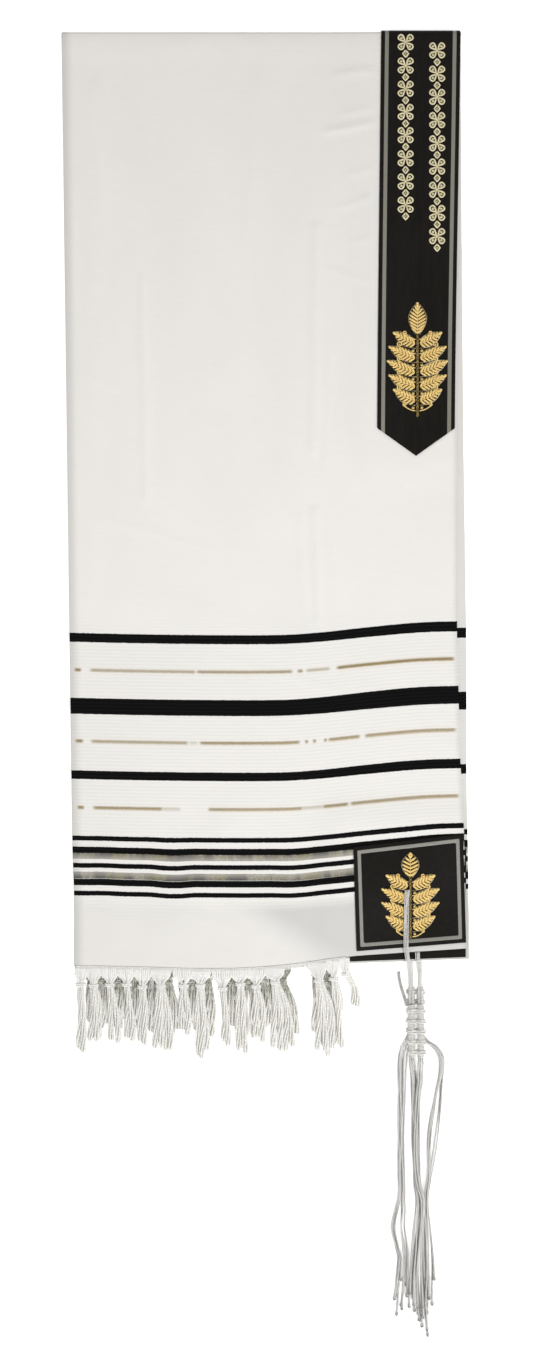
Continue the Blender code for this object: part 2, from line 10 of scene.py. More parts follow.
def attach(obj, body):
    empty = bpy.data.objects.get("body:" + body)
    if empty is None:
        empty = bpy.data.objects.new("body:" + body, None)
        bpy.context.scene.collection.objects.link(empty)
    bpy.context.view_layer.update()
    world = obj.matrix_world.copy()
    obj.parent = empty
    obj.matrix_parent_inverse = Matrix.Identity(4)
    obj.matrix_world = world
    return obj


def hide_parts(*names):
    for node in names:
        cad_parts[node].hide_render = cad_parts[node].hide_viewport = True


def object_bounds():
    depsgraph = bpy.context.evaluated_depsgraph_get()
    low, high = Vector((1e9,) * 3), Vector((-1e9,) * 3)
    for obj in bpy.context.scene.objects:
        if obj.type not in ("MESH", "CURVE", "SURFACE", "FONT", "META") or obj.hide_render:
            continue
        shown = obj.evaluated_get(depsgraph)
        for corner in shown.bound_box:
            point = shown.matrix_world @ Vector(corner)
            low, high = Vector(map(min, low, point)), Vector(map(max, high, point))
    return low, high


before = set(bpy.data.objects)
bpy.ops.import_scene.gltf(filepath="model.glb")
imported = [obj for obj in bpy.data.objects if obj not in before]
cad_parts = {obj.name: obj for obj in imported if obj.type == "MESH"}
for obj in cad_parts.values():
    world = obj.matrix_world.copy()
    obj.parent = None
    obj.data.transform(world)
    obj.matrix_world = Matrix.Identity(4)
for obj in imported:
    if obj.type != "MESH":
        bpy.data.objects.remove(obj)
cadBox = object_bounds()
bpy.ops.object.select_all(action="DESELECT")
print("frame loaded:", len(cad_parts), "nodes")

# All sizes are in millimetres: x runs right from the left fold, v runs down from the top fold, z is height.
mm = 0.001
highest = cadBox[1]
centreX = highest.x / mm
bandProud = 1.35  # how far the neckband stands out past the cloth's fold
lowestPoint = 0.02
centreV = highest.y / mm - bandProud

# The folded cloth: wall, gap between layers, edges and how the front panel is pulled up at the right
cloth = {
    "wall": 1.1,
    "thread": 0.8,
    "gap": 0.35,
    "hem": 911.0,
    "leftEdge": ((0, 0.0), (291, 3.9), (587, 7.8), (793, 10.7), (841, 12.2), (915, 12.2)),
    "rightEdge": (
        (0, 389.0), (388, 385.1), (593, 385.1), (652, 386.6),
        (710, 388.0), (782, 391.4), (889, 394.3), (915, 394.6),
    ),
    "innerRightEdge": (
        (0, 387.5), (388, 390.5), (593, 393.4), (724, 393.6),
        (798, 394.8), (886, 396.0), (915, 396.0),
    ),
    "backRightEdge": ((0, 389.0), (500, 386.0), (915, 392.0)),
    "innerHem": ((0, 907.0), (213, 908.0), (278, 908.8), (396, 904.5)),
    "backHem": ((0, 905.0), (396, 901.0)),
    "stripeRise": (
        (0, 0.0), (60, -1.4), (130, -2.4), (213, -2.4),
        (252, 0.0), (300, 5.0), (349, 9.3), (396, 10.7),
    ),
    "hemRise": ((0, 0.0), (60, -1.0), (147, -3.0), (213, 0.0), (275, 8.6), (290, 10.2), (396, 17.3)),
    # how far the corner is drawn up, from which x and v, and over which lengths
    "cornerPull": (1.6, 330.0, 50.0, 740.0, 60.0),
    "riseFrom": 60.0,
    "riseFull": 560.0,
    "lastStripe": 845.0,
    "lip": 10.0,
    "puff": 1.4,
    "puffReach": 34.0,
    "hiddenSwell": 0.8,
    "ramp": 39.0,
    "neckbandRamp": (265.0, 416.0),
    "cornerRamp": (237.0, 738.0),
    # the creased strip beside the neckband: where it ends across and along
    "besideBand": (307.0, 400.0),
    # wavelengths across and along, seed and height of the cloth's unevenness
    "uneven": ((34.0, 52.0, 3.1, 0.16), (12.0, 15.0, 7.7, 0.05)),
    "fineCreaseShare": 1.1,
}

# Main creases from (x, v) to (x, v), with width and height, and finer ones that only show here
creases = (
    (30, 60, 18, 560, 22, 0.7),
    (120, 20, 150, 330, 46, 0.9),
    (245, 90, 215, 470, 40, 0.8),
    (60, 560, 250, 600, 34, 0.6),
    (90, 905, 170, 760, 38, 0.9),
    (262, 905, 178, 842, 26, 1.5),
    (40, 800, 60, 905, 26, 0.8),
)
fineCreases = (
    (79, 242, 82, 457, 5, 0.95),
    (248, 190, 245, 410, 6, 0.90),
    (262, 300, 257, 425, 6, 0.45),
    (247, 465, 250, 575, 5, 1.05),
    (232, 470, 237, 585, 7, 0.50),
    (268, 42, 305, 38, 5, 0.90),
    (276, 80, 306, 74, 5, 0.55),
    (258, 98, 306, 89, 6, 0.85),
    (280, 140, 306, 132, 5, 0.42),
    (270, 172, 306, 160, 5, 0.50),
    (282, 206, 306, 200, 5, 0.36),
    (262, 232, 304, 246, 6, 0.34),
    (120, 20, 134, 62, 6, 0.22),
    (152, 18, 178, 40, 6, 0.22),
    (8, 330, 60, 352, 5, 0.20),
    (70, 30, 96, 200, 9, 0.22),
    (190, 40, 176, 260, 8, 0.20),
    (20, 470, 150, 505, 7, 0.18),
    (150, 610, 262, 640, 8, 0.22),
    (36, 690, 130, 706, 7, 0.18),
    (262, 500, 300, 610, 9, 0.24),
    (120, 860, 200, 884, 7, 0.26),
    (205, 905, 236, 862, 6, 0.30),
    (60, 905, 74, 868, 6, 0.24),
    (152, 905, 150, 880, 5, 0.22),
    (330, 470, 372, 560, 9, 0.22),
    (300, 640, 384, 700, 10, 0.24),
    (25, 60, 40, 180, 7, 0.20),
)


def smooth(t):
    t = min(max(t, 0.0), 1.0)
    return t * t * (3.0 - 2.0 * t)


def mix(a, b, t):
    return a + (b - a) * t


def read(table, at):
    # the second column of a table, on a smooth curve through its rows
    at = min(max(at, table[0][0]), table[-1][0])
    i = max(k for k in range(len(table) - 1) if table[k][0] <= at)
    (x0, y0), (x1, y1) = table[i], table[i + 1]
    slope = (y1 - y0) / (x1 - x0)
    before = slope if i == 0 else (y1 - table[i - 1][1]) / (x1 - table[i - 1][0])
    after = slope if i + 2 == len(table) else (table[i + 2][1] - y0) / (table[i + 2][0] - x0)
    t = (at - x0) / (x1 - x0)
    step = x1 - x0
    value = y0 * (1 + 2 * t) * (1 - t) ** 2 + y1 * t * t * (3 - 2 * t)
    return value + before * step * t * (1 - t) ** 2 - after * step * t * t * (1 - t)


def place(x, v, z):
    return Vector(((x - centreX) * mm, (centreV - v) * mm, z * mm))


def neckbandZone(x, v):
    fromX, fromV = cloth["neckbandRamp"]
    return smooth((x - fromX) / cloth["ramp"]) * (1.0 - smooth((v - fromV) / cloth["ramp"]))


def cornerZone(x, v):
    fromX, fromV = cloth["cornerRamp"]
    return smooth((x - fromX) / cloth["ramp"]) * smooth((v - fromV) / cloth["ramp"])


def ridge(rows, x, v):
    total = 0.0
    for x0, v0, x1, v1, width, height in rows:
        run = (x1 - x0) ** 2 + (v1 - v0) ** 2
        t = min(max(((x - x0) * (x1 - x0) + (v - v0) * (v1 - v0)) / run, 0.0), 1.0)
        away = math.hypot(x - mix(x0, x1, t), v - mix(v0, v1, t)) / width
        if away < 1.0:
            total = max(total, height * smooth(1.0 - away))
    return total


def openCloth(x, v):
    return 1.0 - max(neckbandZone(x, v), cornerZone(x, v))


def swell(x, v):
    flatAtEdges = smooth((cloth["hem"] - 4.0 - v) / 40.0) * smooth((x - 13.0) / 30.0)
    puff = cloth["puff"] * (1.0 - smooth(v / cloth["puffReach"]))
    return ridge(creases, x, v) * openCloth(x, v) * flatAtEdges + puff


def rumple(x, v):
    # small wrinkles and the slight unevenness of washed cloth
    uneven = 0.0
    for wide, long, seed, height in cloth["uneven"]:
        uneven += noise.noise(Vector((x / wide, v / long, seed))) * height
    endX, endV = cloth["besideBand"]
    beside = smooth((endX - x) / 8.0) * smooth((endV - v) / 20.0)
    return (ridge(fineCreases, x, v) * cloth["fineCreaseShare"] + uneven) * max(openCloth(x, v), beside)


def floorLift(x, v):
    return bandProud * max(neckbandZone(x, v), cornerZone(x, v))


def backMiddle(x, v):
    return floorLift(x, v) + cloth["wall"] / 2


def innerBottom(x, v):
    return floorLift(x, v) + cloth["wall"] + cloth["gap"]


def innerTop(x, v, share=cloth["hiddenSwell"]):
    return innerBottom(x, v) + 2 * cloth["wall"] + cloth["gap"] + swell(x, v) * share


def frontMiddle(x, v):
    return innerTop(x, v, 1.0) + cloth["gap"] + cloth["wall"] / 2 + bandProud * cornerZone(x, v)


def frontTop(x, v):
    return frontMiddle(x, v) + cloth["wall"] / 2


def frontRow(x, v):
    # where a straight thread of the front panel lies once that panel is pulled up at the right
    stripe = read(cloth["stripeRise"], x)
    hem = read(cloth["hemRise"], x)
    low = smooth((v - cloth["lastStripe"]) / (cloth["hem"] - cloth["lastStripe"]))
    pulled = smooth((v - cloth["riseFrom"]) / (cloth["riseFull"] - cloth["riseFrom"]))
    most, fromX, overX, fromV, overV = cloth["cornerPull"]
    corner = most * smooth((x - fromX) / overX) * smooth((v - fromV) / overV) * (1.0 - low)
    return v - stripe * pulled - (hem - stripe) * low - corner


def backRow(x, v):
    return v * read(cloth["backHem"], x) / cloth["hem"]


def spread(first, *stretches):
    # stations along a line, from (end, count) pairs
    stations = [float(first)]
    for end, count in stretches:
        start = stations[-1]
        stations += [mix(start, end, (k + 1) / count) for k in range(count)]
    return stations


# Mesh helpers


def meshObject(name, verts, faces, uvs, material):
    mesh = bpy.data.meshes.new(name)
    mesh.from_pydata(verts, [], faces)
    layer = mesh.uv_layers.new(name="pattern")
    corners = np.empty(len(mesh.loops), np.int32)
    mesh.loops.foreach_get("vertex_index", corners)
    layer.data.foreach_set("uv", np.asarray(uvs, np.float32)[corners].ravel())
    mesh.shade_smooth()
    mesh.materials.append(material)
    obj = bpy.data.objects.new(name, mesh)
    bpy.context.collection.objects.link(obj)
    return obj


def faceOutwards(obj):
    bm = bmesh.new()
    bm.from_mesh(obj.data)
    bmesh.ops.recalc_face_normals(bm, faces=bm.faces)
    bm.to_mesh(obj.data)
    bm.free()


def gridSheet(name, rows, uvRows, thickness, material):
    # a sheet through rows of points, given its wall by Solidify
    count = len(rows[0])
    verts = [point for row in rows for point in row]
    uvs = [uv for row in uvRows for uv in row]
    faces = []
    for r in range(len(rows) - 1):
        for c in range(count - 1):
            a = r * count + c
            faces.append((a, a + 1, a + count + 1, a + count))
    obj = meshObject(name, verts, faces, uvs, material)
    wall = obj.modifiers.new("wall", "SOLIDIFY")
    wall.thickness = thickness * mm
    wall.offset = 0.0
    bpy.ops.object.select_all(action="DESELECT")
    bpy.context.view_layer.objects.active = obj
    obj.select_set(True)
    bpy.ops.object.modifier_apply(modifier=wall.name)
    obj.select_set(False)
    faceOutwards(obj)
    obj.data.shade_smooth()
    obj.data.set_sharp_from_angle(angle=math.radians(55))
    return obj


def newPile():
    return {"verts": [], "faces": [], "uvs": [], "count": 0}


def addTube(pile, points, radii, sides=6, lobes=0, lobeDepth=0.2, turn=4.0, flat=1.0, marked=False):
    # a yarn along points in mm, round or of twisted plies; closed at both ends
    # a marked one has 10 added to its second UV coordinate, by which its material knows it
    p = np.asarray(points, float)
    n = len(p)
    r = np.broadcast_to(np.asarray(radii, float), (n,))
    tangent = np.gradient(p, axis=0)
    tangent /= np.linalg.norm(tangent, axis=1)[:, None] + 1e-12
    side = np.zeros((n, 3))
    guide = np.array([0.0, 0.0, 1.0]) if abs(tangent[0][2]) < 0.9 else np.array([1.0, 0.0, 0.0])
    first = np.cross(tangent[0], guide)
    side[0] = first / np.linalg.norm(first)
    for k in range(1, n):
        s = side[k - 1] - tangent[k] * np.dot(side[k - 1], tangent[k])
        side[k] = s / (np.linalg.norm(s) + 1e-12)
    up = np.cross(side, tangent)
    along = np.concatenate([[0.0], np.cumsum(np.linalg.norm(np.diff(p, axis=0), axis=1))])
    angle = np.arange(sides) * math.tau / sides
    spin = along[:, None] * (math.tau / turn) if lobes else np.zeros((n, 1))
    a = angle[None, :] + spin
    swellOut = 1.0 - lobeDepth * 0.5 * (1 - np.cos(lobes * angle))[None, :] if lobes else np.ones((1, sides))
    rad = r[:, None] * swellOut
    ring = p[:, None, :] + side[:, None, :] * (np.cos(a) * rad)[:, :, None]
    ring += up[:, None, :] * (np.sin(a) * rad * flat)[:, :, None]
    base = pile["count"]
    pile["verts"].append(ring.reshape(-1, 3))
    uv = np.zeros((n, sides, 2))
    uv[:, :, 0] = along[:, None] * mm
    uv[:, :, 1] = (angle / math.tau)[None, :] + (10.0 if marked else 0.0)
    pile["uvs"].append(uv.reshape(-1, 2))
    faces = []
    for k in range(n - 1):
        low = base + k * sides
        for i in range(sides):
            j = (i + 1) % sides
            faces.append((low + i, low + j, low + sides + j, low + sides + i))
    faces.append(tuple(base + i for i in reversed(range(sides))))
    faces.append(tuple(base + (n - 1) * sides + i for i in range(sides)))
    pile["faces"] += faces
    pile["count"] += n * sides


def pileObject(name, pile, material):
    # points in a pile are x, v and z in mm; none sinks into the floor
    verts = np.concatenate(pile["verts"])
    world = np.empty_like(verts)
    world[:, 0] = (verts[:, 0] - centreX) * mm
    world[:, 1] = (centreV - verts[:, 1]) * mm
    world[:, 2] = np.maximum(verts[:, 2], lowestPoint) * mm
    faces = [face[::-1] for face in pile["faces"]]
    obj = meshObject(name, world.tolist(), faces, np.concatenate(pile["uvs"]), material)
    faceOutwards(obj)
    return obj


def curveThrough(rows, count):
    # smooth curve through rows of x, v and z, with evenly spread points
    rows = np.asarray(rows, float)
    stations = np.arange(len(rows))
    fine = np.linspace(0, len(rows) - 1, count)
    tables = [list(zip(stations, rows[:, k])) for k in range(3)]
    return np.array([[read(table, s) for table in tables] for s in fine])


def evenly(points, step):
    length = np.concatenate([[0], np.cumsum(np.linalg.norm(np.diff(points, axis=0), axis=1))])
    count = max(int(length[-1] / step), 2)
    at = np.linspace(0, length[-1], count + 1)
    return np.stack([np.interp(at, length, points[:, k]) for k in range(3)], axis=1)


# Shader helpers


def newMaterial(name):
    material = bpy.data.materials.new(name)
    material.use_nodes = True
    return material, material.node_tree, material.node_tree.nodes["Principled BSDF"]


def connect(tree, node, inputs):
    # links a socket, or sets a plain value
    for key, value in inputs.items():
        if isinstance(value, bpy.types.NodeSocket):
            tree.links.new(value, node.inputs[key])
        else:
            node.inputs[key].default_value = value


def shaderNode(tree, kind, inputs, **settings):
    made = tree.nodes.new(kind)
    for key, value in settings.items():
        setattr(made, key, value)
    connect(tree, made, inputs)
    return made


def maths(tree, operation, first, second=0.0, third=0.0):
    return shaderNode(tree, "ShaderNodeMath", {0: first, 1: second, 2: third}, operation=operation).outputs[0]


def times(tree, first, second):
    return maths(tree, "MULTIPLY", first, second)


def plus(tree, first, second):
    return maths(tree, "ADD", first, second)


def minus(tree, first, second):
    return maths(tree, "SUBTRACT", first, second)


def larger(tree, first, second):
    return second if first is None else maths(tree, "MAXIMUM", first, second)


def halved(tree, wave):
    # a wave from -1 to 1, brought to 0 to 1
    return maths(tree, "MULTIPLY_ADD", wave, 0.5, 0.5)


def ramp(tree, value, start, end, first, last, soft=False):
    # goes from first to last while the value goes from start to end
    made = tree.nodes.new("ShaderNodeMapRange")
    made.interpolation_type = "SMOOTHSTEP" if soft else "LINEAR"
    connect(tree, made, {0: value, 1: start, 2: end, 3: first, 4: last})
    return made.outputs[0]


def noiseNode(tree, scale, detail, **inputs):
    return shaderNode(tree, "ShaderNodeTexNoise", {"Scale": scale, "Detail": detail, **inputs})


def drawnNoise(tree, across, along, scaleAcross, scaleAlong, detail):
    # noise that is drawn out along the cloth or across it
    scaled = {0: times(tree, across, scaleAcross), 1: times(tree, along, scaleAlong)}
    spot = shaderNode(tree, "ShaderNodeCombineXYZ", scaled)
    return noiseNode(tree, 1.0, detail, Vector=spot.outputs[0])


def mixColour(tree, factor, first, second):
    made = shaderNode(tree, "ShaderNodeMix", {0: factor, 6: first, 7: second}, data_type="RGBA")
    return made.outputs[2]


def newGroup(name, output, **inputs):
    # a node group with number sockets; its own inputs and its one output come back with it
    group = bpy.data.node_groups.new(name, "ShaderNodeTree")
    for label, value in inputs.items():
        socket = group.interface.new_socket(name=label, in_out="INPUT", socket_type="NodeSocketFloat")
        socket.default_value = value
    group.interface.new_socket(name=output, in_out="OUTPUT", socket_type="NodeSocketFloat")
    given = group.nodes.new("NodeGroupInput")
    result = group.nodes.new("NodeGroupOutput")
    return group, [given.outputs[label] for label in inputs], result.inputs[output]


def makeBandGroup():
    # 1 inside a stripe of a given half width, falling to 0 over a soft edge
    group, given, result = newGroup("stripeBand", "Mask", Position=0.0, Centre=0.0, Half=1.0, Edge=0.4)
    position, centre, half, edge = given
    away = maths(group, "ABSOLUTE", minus(group, position, centre))
    past = maths(group, "DIVIDE", minus(group, away, half), edge)
    group.links.new(ramp(group, past, -0.5, 0.5, 1.0, 0.0, soft=True), result)
    return group


def makeWeaveGroup():
    # over and under of warp and weft, from positions in mm across and along
    group, given, result = newGroup("weave", "Height", Across=0.0, Along=0.0, Pitch=0.9)
    across, along, pitch = given
    turns = [maths(group, "DIVIDE", times(group, way, math.tau), pitch) for way in (across, along)]
    waves = [maths(group, "SINE", turn) for turn in turns]
    group.links.new(halved(group, times(group, *waves)), result)
    return group


def makeTwistGroup():
    # slanting plies of a twisted yarn, from the way along it in metres and round it from 0 to 1
    group, given, result = newGroup("yarnTwist", "Height", Along=0.0, Round=0.0, Turn=0.003, Plies=3.0)
    along, around, turn, plies = given
    turns = maths(group, "DIVIDE", along, turn)
    slant = plus(group, times(group, around, plies), turns)
    group.links.new(halved(group, maths(group, "SINE", times(group, slant, math.tau))), result)
    return group


groups = {"band": makeBandGroup(), "weave": makeWeaveGroup(), "twist": makeTwistGroup()}


def groupNode(tree, name, inputs):
    made = tree.nodes.new("ShaderNodeGroup")
    made.node_tree = groups[name]
    connect(tree, made, inputs)
    return made.outputs[0]


def stripeMask(tree, position, centre, half, edge):
    return groupNode(tree, "band", {"Position": position, "Centre": centre, "Half": half, "Edge": edge})


def patternParts(tree):
    # both coordinates of a piece's own UV map
    uv = shaderNode(tree, "ShaderNodeUVMap", {}, uv_map="pattern")
    parts = shaderNode(tree, "ShaderNodeSeparateXYZ", {0: uv.outputs[0]})
    return parts.outputs[0], parts.outputs[1]


def patternMillimetres(tree):
    return [times(tree, part, 1000.0) for part in patternParts(tree)]


def bump(tree, shader, height, strength, distance):
    values = {"Strength": strength, "Distance": distance * mm, "Height": height}
    made = shaderNode(tree, "ShaderNodeBump", values)
    tree.links.new(made.outputs["Normal"], shader.inputs["Normal"])


# Body cloth and its stripes

weaveLook = {
    "white": (0.848, 0.82, 0.787, 1.0),
    "whiteShade": (0.77, 0.76, 0.735, 1.0),
    "slub": (0.60, 0.58, 0.54, 1.0),
    "lean": (0.36, 0.37, 0.36, 1.0),
    "edge": (0.40, 0.39, 0.36, 1.0),
    "cream": (0.815, 0.803, 0.77, 1.0),
    "rib": (0.55, 0.53, 0.48, 1.0),
    "black": (0.003, 0.003, 0.0033, 1.0),
    "blackThread": (0.013, 0.013, 0.013, 1.0),
    "gold": (0.46, 0.36, 0.18, 1.0),
    "goldDark": (0.22, 0.17, 0.10, 1.0),
    "goldHalo": (0.72, 0.55, 0.34, 1.0),
    "brocade": (0.36, 0.33, 0.27, 1.0),
    "brocadeOlive": (0.24, 0.22, 0.12, 1.0),
    "brocadeGrey": (0.085, 0.085, 0.085, 1.0),
    "brocadeDark": (0.045, 0.042, 0.038, 1.0),
    "brocadePale": (0.62, 0.59, 0.52, 1.0),
    # middle and half width of the striped field, and the pitch of its ribs
    "striped": (716.0, 140.0),
    "ribPitch": 3.4,
    # shade of each edge: where it starts and ends, and how dark it is at both
    "leftFold": (0.0, 11.0, 0.40, 0.0),
    "rightEdge": (386.0, 392.5, 0.0, 0.27),
    "topFold": (2.0, 34.0, 0.06, 0.0),
    # centre and thickness of each black stripe
    "stripes": (
        (590.4, 8.8), (657.1, 15.6), (724.2, 8.4), (786.0, 4.7),
        (797.4, 6.2), (812.6, 4.7), (828.8, 6.4), (839.7, 4.6),
    ),
    # how much wider they look where the cloth is pulled up at the right
    "wider": (230.0, 330.0, 1.12),
    # height of each gold line, then where it shows: from, to and how strongly
    "goldLines": (
        (622.0, (
            (4, 10, 1.0), (20, 126, 0.68), (128, 224, 0.80),
            (230, 235, 0.8), (239, 262, 0.55), (270, 388, 1.0),
        )),
        (691.4, (
            (4, 11, 1.0), (20, 117, 0.75), (119, 127, 0.3), (130, 230, 0.9), (236, 239, 0.8),
            (244, 247, 0.8), (255, 258, 0.8), (260, 291, 0.9), (297, 388, 0.85),
        )),
        (756.1, (
            (5, 11, 1.0), (21, 90, 0.9), (88, 108, 0.35), (137, 231, 0.85),
            (229, 252, 0.4), (252, 277, 0.9), (280, 388, 0.85),
        )),
    ),
    "goldThickness": 3.0,
    # centre and thickness of each brocade band, and where its dark edge and its pale edge lie
    "brocadeBands": ((802.9, 6.6, 799.6, 806.2), (822.0, 6.5, 825.25, 818.75)),
    # small dips of the lower stripes: middle, half width and depth
    "dips": ((98.0, 14.0, 1.3), (224.0, 17.0, 0.8), (30.0, 12.0, -0.5)),
}


def clothMaterial():
    look = weaveLook
    material, tree, shader = newMaterial("body_cloth")
    across, along = patternMillimetres(tree)
    wander = noiseNode(tree, 160.0, 1.0)
    threadPlace = maths(tree, "MULTIPLY_ADD", minus(tree, wander.outputs["Fac"], 0.5), 0.7, along)
    low = ramp(tree, along, 770.0, 815.0, 0.0, 1.0)
    for centre, half, drop in look["dips"]:
        dip = stripeMask(tree, across, centre, half, half * 1.6)
        threadPlace = minus(tree, threadPlace, times(tree, times(tree, dip, low), drop))
    start, end, most = look["wider"]
    wider = ramp(tree, across, start, end, 1.0, most)

    def bandMask(centre, thickness, edge=0.5):
        return stripeMask(tree, threadPlace, centre, times(tree, wider, thickness / 2), edge)

    # white and cream cloth with ribs and slubs
    large = noiseNode(tree, 7.0, 3.0)
    tone = ramp(tree, large.outputs["Fac"], 0.3, 0.7, 0.2, 0.8)
    striped = stripeMask(tree, along, *look["striped"], 40.0)
    colour = mixColour(tree, times(tree, tone, 0.5), look["white"], look["whiteShade"])
    colour = mixColour(tree, times(tree, striped, 0.55), colour, look["cream"])
    rib = maths(tree, "SINE", times(tree, along, math.tau / look["ribPitch"]))
    ribShade = times(tree, halved(tree, rib), times(tree, striped, 0.10))
    colour = mixColour(tree, ribShade, colour, look["rib"])
    slubs = drawnNoise(tree, across, along, 0.05, 1.3, 2.0)
    colour = mixColour(tree, ramp(tree, slubs.outputs["Fac"], 0.35, 0.75, 0.0, 0.10), colour, look["slub"])

    # a soft fold leans away from the light near the hem, and the folded edges turn away too
    toRight = times(tree, minus(tree, across, 178.0), 0.6)
    aslant = minus(tree, toRight, times(tree, minus(tree, along, 842.0), 0.8))
    lean = ramp(tree, aslant, -26.0, 10.0, 0.13, 0.44, soft=True)
    belowStripes = ramp(tree, along, 844.0, 856.0, 0.0, 1.0)
    colour = mixColour(tree, times(tree, lean, belowStripes), colour, look["lean"])
    leftFold = ramp(tree, across, *look["leftFold"], soft=True)
    rightEdge = ramp(tree, across, *look["rightEdge"], soft=True)
    topFold = ramp(tree, along, *look["topFold"], soft=True)
    colour = mixColour(tree, plus(tree, plus(tree, leftFold, topFold), rightEdge), colour, look["edge"])

    # metal threads: gold lines that glint and fade, and two mottled brocade bands
    fading = drawnNoise(tree, across, along, 0.05, 0.02, 3.0)
    flecks = drawnNoise(tree, across, along, 0.6, 0.6, 2.0)
    metal = None
    for centre, stretches in look["goldLines"]:
        shown = None
        for start, end, strength in stretches:
            taper = min(5.0, (end - start) * 0.6)
            stretch = stripeMask(tree, across, (start + end) / 2, (end - start) / 2, taper)
            shown = larger(tree, shown, times(tree, stretch, strength))
        halo = times(tree, times(tree, bandMask(centre, 7.0, 7.0), shown), 0.12)
        colour = mixColour(tree, halo, colour, look["goldHalo"])
        metal = larger(tree, metal, times(tree, bandMask(centre, look["goldThickness"], 2.2), shown))
    goldTone = mixColour(tree, flecks.outputs["Fac"], look["goldDark"], look["gold"])
    colour = mixColour(tree, metal, colour, goldTone)
    brocade = None
    paler = None
    for centre, thickness, darkEdge, paleEdge in look["brocadeBands"]:
        mask = bandMask(centre, thickness, 0.8)
        brocade = larger(tree, brocade, mask)
        paler = larger(tree, paler, times(tree, mask, ramp(tree, threadPlace, darkEdge, paleEdge, 0.0, 1.0)))
    spot = ramp(tree, flecks.outputs["Fac"], 0.42, 0.60, 0.0, 1.0)
    blotch = ramp(tree, fading.outputs["Fac"], 0.42, 0.54, 0.0, 1.0)
    hues = ramp(tree, fading.outputs["Color"], 0.42, 0.58, 0.0, 1.0)
    pale = mixColour(tree, hues, look["brocade"], look["brocadeOlive"])
    smoothPart = mixColour(tree, blotch, look["brocadeGrey"], pale)
    spotted = maths(tree, "MULTIPLY_ADD", spot, 0.55, 0.45)
    brocadeTone = mixColour(tree, spotted, look["brocadeDark"], smoothPart)
    brocadeTone = mixColour(tree, times(tree, paler, 0.55), brocadeTone, look["brocadePale"])
    colour = mixColour(tree, brocade, colour, brocadeTone)
    dark = None
    for centre, thickness in look["stripes"]:
        dark = larger(tree, dark, bandMask(centre, thickness))
    blackTone = mixColour(tree, times(tree, halved(tree, rib), 0.35), look["black"], look["blackThread"])

    metallic = times(tree, larger(tree, metal, times(tree, brocade, spot)), 0.55)
    connect(tree, shader, {
        "Base Color": mixColour(tree, dark, colour, blackTone),
        "Metallic": metallic,
        "Roughness": ramp(tree, metallic, 0.0, 0.55, 0.86, 0.42),
        "Sheen Weight": 0.03,
        "Sheen Roughness": 0.5,
        "Specular IOR Level": 0.04,
    })
    weave = groupNode(tree, "weave", {"Across": across, "Along": along, "Pitch": 0.9})
    ribHeight = times(tree, halved(tree, rib), times(tree, striped, 0.8))
    raised = plus(tree, times(tree, dark, 1.2), times(tree, metal, 1.6))
    raised = plus(tree, raised, times(tree, slubs.outputs["Fac"], 0.8))
    bump(tree, shader, plus(tree, plus(tree, weave, ribHeight), raised), 0.55, 0.16)
    return material


def foldPoint(x, v, depth, side, wrinkle=0.0):
    # side is front, back or an angle round the top fold; depth runs inward from the middle of the wall
    if side == "front":
        at = frontRow(x, v)
        return place(x, at, frontMiddle(x, at) - depth + wrinkle * rumple(x, at))
    if side == "back":
        at = backRow(x, v)
        return place(x, at, backMiddle(x, at) + depth)
    high, low = frontMiddle(x, 0.0), backMiddle(x, 0.0)
    radius = (high - low) / 2
    reach = (radius - depth) * math.cos(side)
    return place(x, radius + cloth["wall"] / 2 - reach, (high + low) / 2 + (radius - depth) * math.sin(side))


def makeBodyCloth(material):
    bend = (cloth["wall"] + cloth["gap"]) / 2
    columns = spread(0, (392, 98))
    front = [(v, "front") for v in spread(cloth["hem"], (500, 116), (60, 150), (8, 14))]
    turned = [(4.0 - 4.0 * math.sin(a), a) for a in [math.radians(90 - 180 * k / 14) for k in range(15)]]
    backStations = spread(8, (60, 4), (410, 12), (470, 8), (734, 12), (790, 8), (cloth["hem"], 14))
    back = [(v, "back") for v in backStations]
    rows, uvRows = [], []
    for v, side in front + turned + back:
        edge = cloth["backRightEdge"] if side == "back" else cloth["rightEdge"]
        left = read(cloth["leftEdge"], v) + bend - 0.3
        right = read(edge, v)
        waver = noise.noise(Vector((v / 23.0, 0.0, 11.0 if side == "back" else 4.0))) * 0.35
        across = [(mix(left, right + waver, c / 392), 0.0, c) for c in reversed(columns)]
        for k in range(1, 9):
            angle = math.pi * k / 8
            across.append((left - bend * math.sin(angle), bend - bend * math.cos(angle), -angle * bend))
        lips = [cloth["lip"] * share for share in (0.33, 0.66, 1.0)]
        across += [(left + lip, 2 * bend, -2.3 - lip) for lip in lips]
        points, uvs = [], []
        for x, depth, flatX in across:
            wrinkle = smooth((flatX - 6.0) / 20.0)
            points.append(foldPoint(x, v, depth, side, wrinkle))
            uvs.append((flatX * mm, max(v, 0.0) * mm))
        rows.append(points)
        uvRows.append(uvs)
    return gridSheet("body_cloth", rows, uvRows, cloth["thread"], material)


